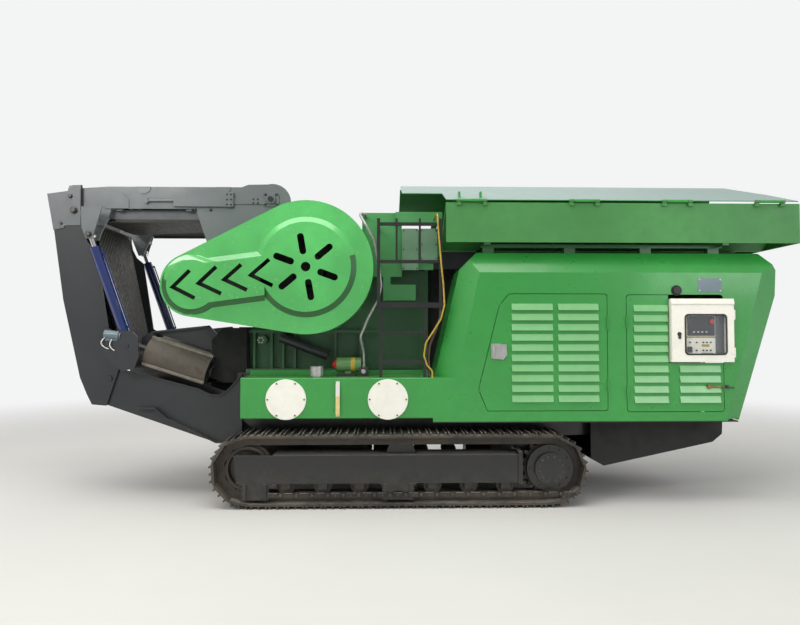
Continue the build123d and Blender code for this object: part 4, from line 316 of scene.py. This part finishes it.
node_materials = {
    "track_near": track_steel, "track_far": track_steel, "sprockets": wheel_steel,
    "final_drives": frame_black, "track_wheels": wheel_steel, "track_frames": frame_black,
    "chassis_frame": frame_black, "deck_plate": charcoal, "tail_belly": tail_black, "side_tanks": green,
    "tank_covers": white, "tank_fittings": zinc, "crusher_frame": shade_painted_green, "fixed_jaw": jaw_steel,
    "swing_jaw": jaw_steel, "setting_gear": charcoal, "bearing_housings": shade_painted_green,
    "flywheels": flywheel_steel, "drive_pulley": flywheel_steel, "drive_belt": belt,
    "drive_motor": motor_iron, "drive_guard": guard_green, "flywheel_guard": guard_green,
    "inlet_chute": chute_green, "fines_chute": shade_painted_green, "service_ladder": ladder_black,
    "grease_hose": sleeve, "ladder_cables": cable_brown, "valve_block": motor_iron, "hood_near": green,
    "hood_far": green, "hood_bridge": shade_painted_green, "door_near_low": green, "radiator_grille": frame_black,
    "door_near_front": green, "door_far_front": green, "door_near_rear": green, "door_far_rear": green,
    "control_cabinet": pale, "control_panel": pale, "cabinet_door": pale, "cabinet_window": glass,
    "engine_block": engine_iron, "feeder": charcoal, "hopper": hopper_green,
    "hopper_supports": shade_painted_green, "wing_near": wing_green_with_painted_reflection, "wing_far": wing_green_with_painted_reflection,
    "conveyor_lower": charcoal, "conveyor_mid": charcoal, "conveyor_head": head_grey,
    "lower_belt": lower_rubber, "mid_belt": mid_rubber, "head_belt": head_rubber,
    "belt_skirts": skirt_grey, "fold_barrels": blue, "fold_rods": chrome, "magnet_belt": drum_rubber,
    "magnet_frame": charcoal, "magnet_motor": motor_iron,
}
MAGNET_MIDDLE, MAGNET_LEAN = (-2.386, 1.355), math.radians(-17.8)
MAGNET_HALF_RUN, MAGNET_SKIN = 0.590, 0.1495
DOOR_FACE = 1.0905


def is_cleat(centre, normal):
    """Whether a face of the magnet's belt stands out of the belt's own loop."""
    across, up = centre.x - MAGNET_MIDDLE[0], centre.z - MAGNET_MIDDLE[1]
    height = -across * math.sin(MAGNET_LEAN) + up * math.cos(MAGNET_LEAN)
    return math.hypot(max(0.0, abs(centre.y) - MAGNET_HALF_RUN), height) > MAGNET_SKIN


def is_latch(centre, normal):
    """Whether a face is on the latch that stands on a front door."""
    return abs(centre.y) > DOOR_FACE and centre.x < 0.80 and 1.39 < centre.z < 1.54


# Second materials of a node: (node, material, test on a face's middle and normal)
face_materials = (
    ("tank_covers", dark_zinc, lambda c, n: abs(c.y) > 1.1075),  # bolt heads
    ("tank_fittings", gauge, lambda c, n: c.y < -1.085 and c.z < 1.2),  # level gauge
    ("ladder_cables", cable_yellow, lambda c, n: c.z > 1.95 or c.y < -1.0625),  # the outermost cable
    ("conveyor_mid", head_grey, lambda c, n: 0.6605 < abs(c.y) < 0.67 and c.z > 2.5),  # fold cheeks
    ("valve_block", valve_green, lambda c, n: c.z > 1.245 and c.x < -0.541),  # the lying body
    ("magnet_belt", cleat_rubber, is_cleat),
    # painted shade on the guard's bevel faces that look sideways and down
    ("drive_guard", guard_bevel_painted_shade, lambda c, n: n.z < 0.12 and 0.2 < abs(n.y) < 0.985 and c.y < -1.101),
    ("control_panel", black_plastic, lambda c, n: c.y < -1.0965),  # screen and key field
    ("track_frames", top_highlight_grey, lambda c, n: n.z > 0.9),  # painted highlight along the tops
    ("belt_skirts", belt, lambda c, n: c.z < 2.796),  # rubber strips
    ("door_near_front", zinc, is_latch),
    ("door_far_front", zinc, is_latch),
)
for name, obj in nodes.items():
    obj.data.materials.clear()
    obj.data.materials.append(node_materials[name])
    for polygon in obj.data.polygons:
        polygon.material_index = 0
for name, material, test in face_materials:
    mesh = nodes[name].data
    mesh.materials.append(material)
    for polygon in mesh.polygons:
        if test(polygon.center, polygon.normal):
            polygon.material_index = len(mesh.materials) - 1

# Louvres: painted highlight (the sky's reflection) on the blades that look up, painted shade under them
for name in ("door_near_front", "door_far_front", "door_near_rear", "door_far_rear", "door_near_low"):
    mesh = nodes[name].data
    mesh.materials.append(louvre_painted_highlight_green)
    mesh.materials.append(louvre_painted_shade_green)
    for polygon in mesh.polygons:
        middle, normal = polygon.center, polygon.normal
        if abs(middle.y) > DOOR_FACE and abs(normal.x) < 0.1 and polygon.material_index == 0:
            if normal.z > 0.15:
                polygon.material_index = len(mesh.materials) - 2
            elif normal.z < -0.5:
                polygon.material_index = len(mesh.materials) - 1


# Small pieces: bolts, catches, gauges and fittings, each a mesh of its own that rides on a body

def join(bm, first, second):
    """Faces between two rings of as many corners."""
    count = len(first)
    for i in range(count):
        bm.faces.new((first[i], first[(i + 1) % count], second[(i + 1) % count], second[i]))


def bar(bm, start, end, radius, sides=16, tip=None):
    """Round or polygonal bar between two places, narrowed to tip at its end where given."""
    start, end = Vector(start), Vector(end)
    run = (end - start).normalized()
    across = run.orthogonal().normalized()
    up = run.cross(across)
    rings = []
    for place, size in ((start, radius), (end, radius if tip is None else tip)):
        rings.append([
            bm.verts.new(place + size * (math.cos(angle) * across + math.sin(angle) * up))
            for angle in (2 * math.pi * i / sides for i in range(sides))
        ])
    join(bm, *rings)
    bm.faces.new(rings[0][::-1])
    bm.faces.new(rings[1])


def bolt(bm, place, out, size):
    """Washer and hexagon head on a face, out being the way that the face looks."""
    place, out = Vector(place), Vector(out)
    washer, shoulder, top = (place + out * size * share for share in (0.16, 0.70, 0.86))
    bar(bm, place, washer, size, 20)
    bar(bm, washer, shoulder, size * 0.80, 6)
    bar(bm, shoulder, top, size * 0.78, 6, size * 0.56)


def plate(bm, outline, front, thick):
    """Flat plate in the XZ plane: its outline's (x, z) points, its front's y and its thickness."""
    rings = [[bm.verts.new((x, y, z)) for x, z in outline] for y in (front, front + thick)]
    join(bm, *rings)
    bm.faces.new(rings[0])
    bm.faces.new(rings[1][::-1])


def box_outline(x0, z0, x1, z1, corner):
    """Points of a rectangle, its corners rounded to this radius."""
    left, right, low, high = x0 + corner, x1 - corner, z0 + corner, z1 - corner
    points = []
    for cx, cz, first in ((right, low, -90), (right, high, 0), (left, high, 90), (left, low, 180)):
        for step in range(4):
            angle = math.radians(first + 30 * step)
            points.append((cx + corner * math.cos(angle), cz + corner * math.sin(angle)))
    return points


def around(x, z, radius, count, first=0):
    """Places (x, z) spread evenly round a circle, the first at this angle in degrees."""
    for turn in range(count):
        angle = math.radians(360 / count * turn + first)
        yield x + radius * math.cos(angle), z + radius * math.sin(angle)


def piece(name, bm, body, material, soften):
    """Turns a mesh into a piece with softened edges that rides on a body."""
    bmesh.ops.recalc_face_normals(bm, faces=bm.faces[:])
    mesh = bpy.data.meshes.new(name)
    bm.to_mesh(mesh)
    bm.free()
    obj = bpy.data.objects.new(name, mesh)
    bpy.context.scene.collection.objects.link(obj)
    mesh.materials.append(material)
    if soften:
        rounded = obj.modifiers.new("rounded", "BEVEL")
        rounded.width = soften
        rounded.segments = 2
        rounded.limit_method = "ANGLE"
        rounded.angle_limit = math.radians(40)
    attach(obj, body)


NEAR, FAR = (0, -1, 0), (0, 1, 0)
SIDES = ((-1, NEAR), (1, FAR))

# Bolts of the tank covers
cover_middles, cover_z, cover_circle = (-1.239, -0.279), 1.010, 0.172
bm = bmesh.new()
for hand in (-1, 1):
    for cover_x in cover_middles:
        for x, z in around(cover_x, cover_z, cover_circle, 6):
            bar(bm, (x, hand * 1.112, z), (x, hand * 1.118, z), 0.0065, 6)
piece("cover_bolts", bm, "chassis", dark_zinc, 0.0006)

# Bolts of the final drives, in a ring on each hub
low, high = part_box("final_drives")
hub_x, hub_z, hub_circle = (low[0] + high[0]) / 2, (low[2] + high[2]) / 2, 0.115
bm = bmesh.new()
for hand, out in SIDES:
    for x, z in around(hub_x, hub_z, hub_circle, 12, 15):
        bolt(bm, (x, hand * high[1], z), out, 0.013)
piece("drive_bolts", bm, "chassis", dark_zinc, 0.001)

# Pins and bolts of the folded conveyor's joints
fold_cheek, gusset_face = 0.668, 0.775
bm = bmesh.new()
for hand, out in SIDES:
    for x, z, size in ((-3.470, 3.013, 0.024), (-3.434, 2.871, 0.038), (-3.560, 2.740, 0.018)):
        bolt(bm, (x, hand * fold_cheek, z), out, size)
piece("pivot_bolts", bm, "conveyor_middle", dark_zinc, 0.0015)
bm = bmesh.new()
for hand, out in SIDES:
    bolt(bm, (-3.238, hand * gusset_face, 2.616), out, 0.034)
piece("gusset_bolts", bm, "conveyor_end", dark_zinc, 0.0015)

# Bare nameplate on the hood's near side
hood_face = 1.090
plate_thick = 0.0025
plate_front = -hood_face - plate_thick
bm = bmesh.new()
plate(bm, box_outline(2.701, 2.030, 2.929, 2.162, 0.006), plate_front, plate_thick)
piece("nameplate", bm, "chassis", plate_blue, 0.0005)
bm = bmesh.new()
for x in (2.714, 2.916):
    for z in (2.043, 2.149):
        bolt(bm, (x, plate_front, z), NEAR, 0.009)
piece("nameplate_bolts", bm, "chassis", zinc, 0.0005)

# Breather cap, with grips round its edge
cap_x, cap_z = 2.490, 2.045
bm = bmesh.new()
bar(bm, (cap_x, -hood_face, cap_z), (cap_x, -1.098, cap_z), 0.050, 32)
bar(bm, (cap_x, -1.098, cap_z), (cap_x, -1.118, cap_z), 0.042, 32, 0.036)
for x, z in around(cap_x, cap_z, 0.041, 12):
    bar(bm, (x, -1.098, z), (x, -1.112, z), 0.004, 8)
piece("breather_cap", bm, "chassis", black_plastic, 0.0012)

# Lever of the rear door and its catch
lever_x, lever_z, lever_y = 2.790, 1.124, -1.104
bm = bmesh.new()
bar(bm, (lever_x, -hood_face, lever_z), (lever_x, -1.112, lever_z), 0.022, 20)
bar(bm, (lever_x, lever_y, lever_z), (2.915, lever_y, 1.118), 0.009, 12, 0.007)
bar(bm, (2.915, lever_y, 1.118), (2.930, lever_y, 1.117), 0.012, 12)
piece("door_lever", bm, "near_rear_door", brass, 0.001)
catch_x, catch_z, catch_front = 2.967, 1.120, -1.096
bm = bmesh.new()
plate(bm, box_outline(2.950, 1.100, 2.985, 1.140, 0.006), catch_front, 0.006)
bar(bm, (catch_x, catch_front, catch_z), (catch_x, -1.112, catch_z), 0.008, 12)
bar(bm, (catch_x, -1.106, catch_z), (3.030, -1.106, 1.112), 0.006, 12)
piece("lever_catch", bm, "chassis", dark_zinc, 0.001)

# Latch plate and handle of the front doors
latch_face, latch_x, latch_z = 1.104, 0.755, 1.492
latch_outline = (
    (0.712, 1.392), (0.815, 1.384), (0.852, 1.425), (0.846, 1.528), (0.728, 1.532), (0.706, 1.480),
)
for hand, side in ((-1, "near"), (1, "far")):
    bm = bmesh.new()
    plate(bm, latch_outline, hand * (latch_face + 0.004), hand * -0.017)
    plate(bm, box_outline(0.742, 1.412, 0.768, 1.512, 0.008), hand * (latch_face + 0.012), hand * -0.008)
    knob = [(latch_x, hand * y, latch_z) for y in (latch_face, latch_face + 0.016)]
    bar(bm, *knob, 0.011, 20)
    piece("door_latch_" + side, bm, side + "_front_door", zinc, 0.001)

# What shows behind the cabinet's window: knob, buttons and yellow lines
panel_face, screen_face = -1.096, -1.106
knob_x, knob_z, knob_neck = 2.815, 1.745, -1.114
bm = bmesh.new()
bar(bm, (knob_x, screen_face, knob_z), (knob_x, knob_neck, knob_z), 0.017, 24)
bar(bm, (knob_x, knob_neck, knob_z), (knob_x, -1.126, knob_z), 0.026, 24, 0.022)
piece("stop_knob", bm, "chassis", red_plastic, 0.001)
mark_thick = 0.0015
bm = bmesh.new()
for x in (2.640, 2.680, 2.720, 2.760):
    plate(bm, box_outline(x, 1.640, x + 0.018, 1.652, 0.002), screen_face - mark_thick, mark_thick)
piece("panel_marks", bm, "chassis", white_plastic, 0.0004)
bm = bmesh.new()
for corners in (
    (2.560, 1.590, 2.900, 1.602), (2.725, 1.505, 2.800, 1.528), (2.722, 1.436, 2.835, 1.446),
):
    plate(bm, box_outline(*corners, 0.001), panel_face - mark_thick, mark_thick)
piece("panel_line", bm, "chassis", cable_yellow, 0.0003)

# Seal round the cabinet's window
seal_back, seal_front = -1.1455, -1.1485
outer = box_outline(2.540, 1.425, 2.952, 1.818, 0.036)
inner = box_outline(2.556, 1.441, 2.936, 1.802, 0.026)
bm = bmesh.new()
rings = [
    [bm.verts.new((x, y, z)) for x, z in points]
    for points, y in ((outer, seal_back), (outer, seal_front), (inner, seal_front), (inner, seal_back))
]
for first, second in zip(rings, rings[1:] + rings[:1]):
    join(bm, first, second)
piece("window_seal", bm, "control_door", black_plastic, 0.001)

# Cable channel and socket behind the window, and the lock of the cabinet's door
bm = bmesh.new()
plate(bm, box_outline(2.860, 1.440, 2.945, 1.806, 0.002), panel_face - 0.002, 0.002)
piece("panel_channel", bm, "chassis", skirt_grey, 0.0005)
bm = bmesh.new()
plate(bm, box_outline(2.585, 1.450, 2.632, 1.505, 0.003), panel_face - 0.008, 0.008)
piece("panel_socket", bm, "chassis", black_plastic, 0.0008)
bm = bmesh.new()
bar(bm, (2.490, -1.1445, 1.626), (2.490, -1.1495, 1.626), 0.020, 24)
plate(bm, box_outline(2.478, 1.580, 2.502, 1.640, 0.006), -1.1565, 0.007)
piece("cabinet_lock", bm, "control_door", black_plastic, 0.001)

# Dark sheet behind the guard's chevrons: painted shade of the guard's inside
bm = bmesh.new()
plate(bm, ((-2.36, 1.92), (-1.50, 2.03), (-1.46, 2.40), (-2.34, 2.30)), -1.088, 0.004)
piece("guard_shade_sheet", bm, "chassis", painted_shade_black, 0.0008)

# Head drum's bearing, its slide's bolts and the tensioner's end plate
drum_x, drum_z = -1.466, 2.994
bearing_face, cap_face = 0.649, 0.672
bm = bmesh.new()
for hand in (-1, 1):
    plate(bm, box_outline(-1.545, 2.922, -1.387, 3.066, 0.030), hand * bearing_face, -hand * 0.014)
    bar(bm, (drum_x, hand * bearing_face, drum_z), (drum_x, hand * cap_face, drum_z), 0.052, 32, 0.047)
    plate(bm, box_outline(-1.925, 2.912, -1.845, 3.062, 0.004), hand * cap_face, -hand * 0.008)
piece("head_bearings", bm, "conveyor_end", head_grey, 0.0012)
bolt_groups = (
    # columns, rows, face, size
    ((-1.522, -1.410), (2.944, 3.044), bearing_face, 0.014),
    ((-1.905, -1.865), (2.935, 2.987, 3.039), cap_face, 0.010),
    ((-1.645, -1.600), (2.957, 2.996), 0.645, 0.010),
    ((-2.230, -2.075), (2.885,), 0.635, 0.016),
)
bm = bmesh.new()
for hand, out in SIDES:
    bar(bm, (drum_x, hand * cap_face, drum_z), (drum_x, hand * 0.690, drum_z), 0.027, 24)
    for columns, rows, face, size in bolt_groups:
        for x in columns:
            for z in rows:
                bolt(bm, (x, hand * face, z), out, size)
piece("head_bolts", bm, "conveyor_end", frame_black, 0.0008)
bm = bmesh.new()
for hand in (-1, 1):
    plate(bm, box_outline(-3.372, 2.870, -3.366, 3.118, 0.001), hand * 0.672, -hand * 0.005)
piece("weld_lines", bm, "conveyor_middle", frame_black, 0.0)

# Solenoid and its short wires on the near base lug of the fold cylinder
coil_end = (-2.918, -0.790, 1.612)
bm = bmesh.new()
bar(bm, (-3.058, -0.790, 1.628), coil_end, 0.042, 28)
bar(bm, coil_end, (-2.902, -0.790, 1.610), 0.030, 24)
plate(bm, box_outline(-3.050, 1.560, -2.930, 1.605, 0.006), -0.805, 0.03)
piece("lug_valve", bm, "conveyor_middle", plate_blue, 0.002)
wire_a = ((-3.05, -0.812, 1.590), (-3.085, -0.835, 1.555), (-3.055, -0.840, 1.500), (-3.005, -0.825, 1.480))
wire_b = ((-2.98, -0.812, 1.575), (-3.000, -0.835, 1.530), (-2.975, -0.835, 1.480), (-2.950, -0.822, 1.465))
for name, points in (("lug_wire_a", wire_a), ("lug_wire_b", wire_b)):
    curve = bpy.data.curves.new(name, "CURVE")
    curve.dimensions = "3D"
    curve.bevel_depth = 0.005
    curve.bevel_resolution = 4
    spline = curve.splines.new("NURBS")
    spline.points.add(len(points) - 1)
    for point, place in zip(spline.points, points):
        point.co = (*place, 1)
    spline.order_u = 3
    spline.use_endpoint_u = True
    wire = bpy.data.objects.new(name, curve)
    bpy.context.scene.collection.objects.link(wire)
    curve.materials.append(white_plastic)
    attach(wire, "conveyor_middle")

# Behind the ladder: bolted plates on the chute's side, and a dark sheet between it and the hood that paints
# the shade in the gap
chute_plates, chute_face = ((-0.135, 2.271, 0.030, 2.694), (0.050, 2.372, 0.224, 2.694)), -0.704
bm = bmesh.new()
for corners in chute_plates:
    plate(bm, box_outline(*corners, 0.008), chute_face, 0.012)
piece("chute_plates", bm, "chassis", plate_green, 0.0015)
bm = bmesh.new()
for x0, z0, x1, z1 in chute_plates:
    for x in (x0 + 0.016, x1 - 0.016):
        for z in (z0 + 0.018, (z0 + z1) / 2, z1 - 0.018):
            bolt(bm, (x, chute_face, z), NEAR, 0.008)
piece("chute_plate_bolts", bm, "chassis", dark_zinc, 0.0006)
bm = bmesh.new()
plate(bm, ((0.146, 1.235), (0.330, 1.235), (0.420, 1.900), (0.430, 2.400), (0.146, 2.400)), -0.340, 0.008)
piece("gap_shade_sheet", bm, "chassis", painted_shade_black, 0.001)

# Dark sheet beside the magnet: painted shade between the magnet and the crusher
magnet_outline = (
    (-2.060, 1.180), (-1.960, 1.130), (-1.716, 1.130), (-1.716, 1.690), (-1.960, 1.690), (-2.075, 1.560),
)
bm = bmesh.new()
plate(bm, magnet_outline, -0.560, 0.008)
piece("magnet_shade_sheet", bm, "chassis", painted_shade_black, 0.001)

# Chain links and pin heads along the tracks' lower runs
link_pitch, link_count, link_first = 0.1455, 20, -1.395
link_face, pin_z = 1.157, 0.126
link_outline = (
    (0.0, 0.104), (0.092, 0.104), (0.100, 0.130), (0.086, 0.149), (0.006, 0.149), (-0.008, 0.130),
)
bm = bmesh.new()
pins = bmesh.new()
for hand in (-1, 1):
    for count in range(link_count):
        x = link_first + link_pitch * count
        plate(bm, [(x + across, z) for across, z in link_outline], hand * link_face, -hand * 0.010)
        bar(pins, (x + 0.119, hand * 1.147, pin_z), (x + 0.119, hand * 1.160, pin_z), 0.017, 16, 0.014)
        bar(pins, (x + 0.046, hand * link_face, pin_z), (x + 0.046, hand * 1.163, pin_z), 0.010, 6)
piece("track_links", bm, "chassis", link_steel, 0.003)
piece("track_pins", pins, "chassis", wheel_steel, 0.001)

# Window of the level gauge, in front of its tube
bm = bmesh.new()
plate(bm, box_outline(-0.771, 0.876, -0.733, 1.154, 0.004), -1.118, 0.006)
piece("gauge_window", bm, "chassis", gauge, 0.001)

# Fittings of the valve on the tank: a yellow band, a red end and a union
valve_y, valve_z = -0.820, 1.325
union_x, union_z, union_neck = -0.515, 1.262, -0.918
bm = bmesh.new()
bar(bm, (-0.640, valve_y, valve_z), (-0.600, valve_y, valve_z), 0.0715, 40)
piece("valve_band", bm, "chassis", cable_yellow, 0.001)
bm = bmesh.new()
bar(bm, (-0.780, valve_y, valve_z), (-0.806, valve_y, valve_z), 0.046, 6, 0.040)
bar(bm, (-0.806, valve_y, valve_z), (-0.822, valve_y, valve_z), 0.024, 16)
piece("valve_end", bm, "chassis", red_plastic, 0.002)
bm = bmesh.new()
bar(bm, (union_x, -0.900, union_z), (union_x, union_neck, union_z), 0.022, 24)
bar(bm, (union_x, union_neck, union_z), (union_x, -0.930, union_z), 0.014, 24)
bar(bm, (union_x, -0.840, 1.300), (union_x, -0.840, 1.330), 0.021, 6)
piece("valve_union", bm, "chassis", zinc, 0.001)

# Bolts of the spring seats on the crusher's near and far side
low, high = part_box("crusher_frame")
bm = bmesh.new()
for hand, out in SIDES:
    for x, z in around(-1.570, 1.564, 0.02728, 6):
        bolt(bm, (x, hand * high[1], z), out, 0.009)
piece("boss_bolts", bm, "chassis", zinc, 0.0008)

# Floor, sky and lamps

SKY = (0.90, 0.905, 0.905)
FLOOR_HALF = 60


def make_floor():
    """Floor that fades into the sky's colour with the distance from the machine."""
    mesh = bpy.data.meshes.new("floor")
    corners = [(x * FLOOR_HALF, y * FLOOR_HALF, 0) for x, y in ((-1, -1), (1, -1), (1, 1), (-1, 1))]
    mesh.from_pydata(corners, [], [(0, 1, 2, 3)])
    floor = bpy.data.objects.new("floor", mesh)
    floor.location.z = -0.002
    bpy.context.scene.collection.objects.link(floor)
    g = Graph("floor")
    tone = g.mix(g.noise(0.6, 4), (0.64, 0.63, 0.605), (0.70, 0.69, 0.665))
    g.fill(g.shader, Base_Color=tone, Roughness=0.85)
    mesh.materials.append(g.material)
    far = g.new("ShaderNodeVectorMath")
    far.operation = "LENGTH"
    g.put(far.inputs[0], g.place)
    haze = g.new("ShaderNodeEmission")
    g.fill(haze, Color=SKY)
    fade = g.new("ShaderNodeMixShader")
    g.put(fade.inputs[0], g.band(far.outputs["Value"], 5.5, 13.0))
    g.put(fade.inputs[1], g.shader.outputs[0])
    g.put(fade.inputs[2], haze.outputs[0])
    g.put(g.output.inputs[0], fade.outputs[0])


def make_sky():
    """Even sky for the camera, and one that brightens upwards for the light."""
    world = bpy.data.worlds.new("world")
    bpy.context.scene.world = world
    world.use_nodes = True
    tree = world.node_tree
    tree.nodes.clear()
    output, light, shown, choose, coordinates, split, ramp, path = (
        tree.nodes.new("ShaderNode" + kind) for kind in (
            "OutputWorld", "Background", "Background", "MixShader", "TexCoord", "SeparateXYZ", "ValToRGB",
            "LightPath",
        )
    )
    low, high = ramp.color_ramp.elements
    low.position, low.color = 0.0, (0.52, 0.53, 0.53, 1)
    high.position, high.color = 0.9, (1.0, 1.0, 1.0, 1)
    light.inputs["Strength"].default_value = 0.62
    shown.inputs["Color"].default_value = (*SKY, 1)
    for start, end in (
        (coordinates.outputs["Generated"], split.inputs[0]),
        (split.outputs["Z"], ramp.inputs[0]),
        (ramp.outputs["Color"], light.inputs["Color"]),
        (path.outputs["Is Camera Ray"], choose.inputs[0]),
        (light.outputs[0], choose.inputs[1]),
        (shown.outputs[0], choose.inputs[2]),
        (choose.outputs[0], output.inputs["Surface"]),
    ):
        tree.links.new(start, end)


def softbox(name, place, aim, size, energy, color=(1, 1, 1)):
    """Rectangular lamp at a place, turned to what it aims at."""
    data = bpy.data.lights.new(name, "AREA")
    data.shape = "RECTANGLE"
    data.size, data.size_y = size
    data.energy = energy
    data.color = color
    lamp = bpy.data.objects.new(name, data)
    lamp.location = place
    lamp.rotation_euler = (Vector(aim) - Vector(place)).to_track_quat("-Z", "Y").to_euler()
    bpy.context.scene.collection.objects.link(lamp)


make_floor()
make_sky()
softbox("top_light", (-1.5, -2.5, 9.0), (0.0, 0.0, 1.0), (9, 6), 560, (1.0, 0.99, 0.96))
softbox("key_light", (-6.5, -8.5, 6.5), (-0.3, 0, 1.5), (4, 3), 380, (1.0, 0.985, 0.95))
softbox("fill_light", (7.5, -8.0, 4.0), (0.5, 0, 1.4), (5, 3), 180, (0.96, 0.98, 1.0))
softbox("back_light", (1.5, 9.0, 6.5), (0, 0, 1.5), (9, 5), 200)
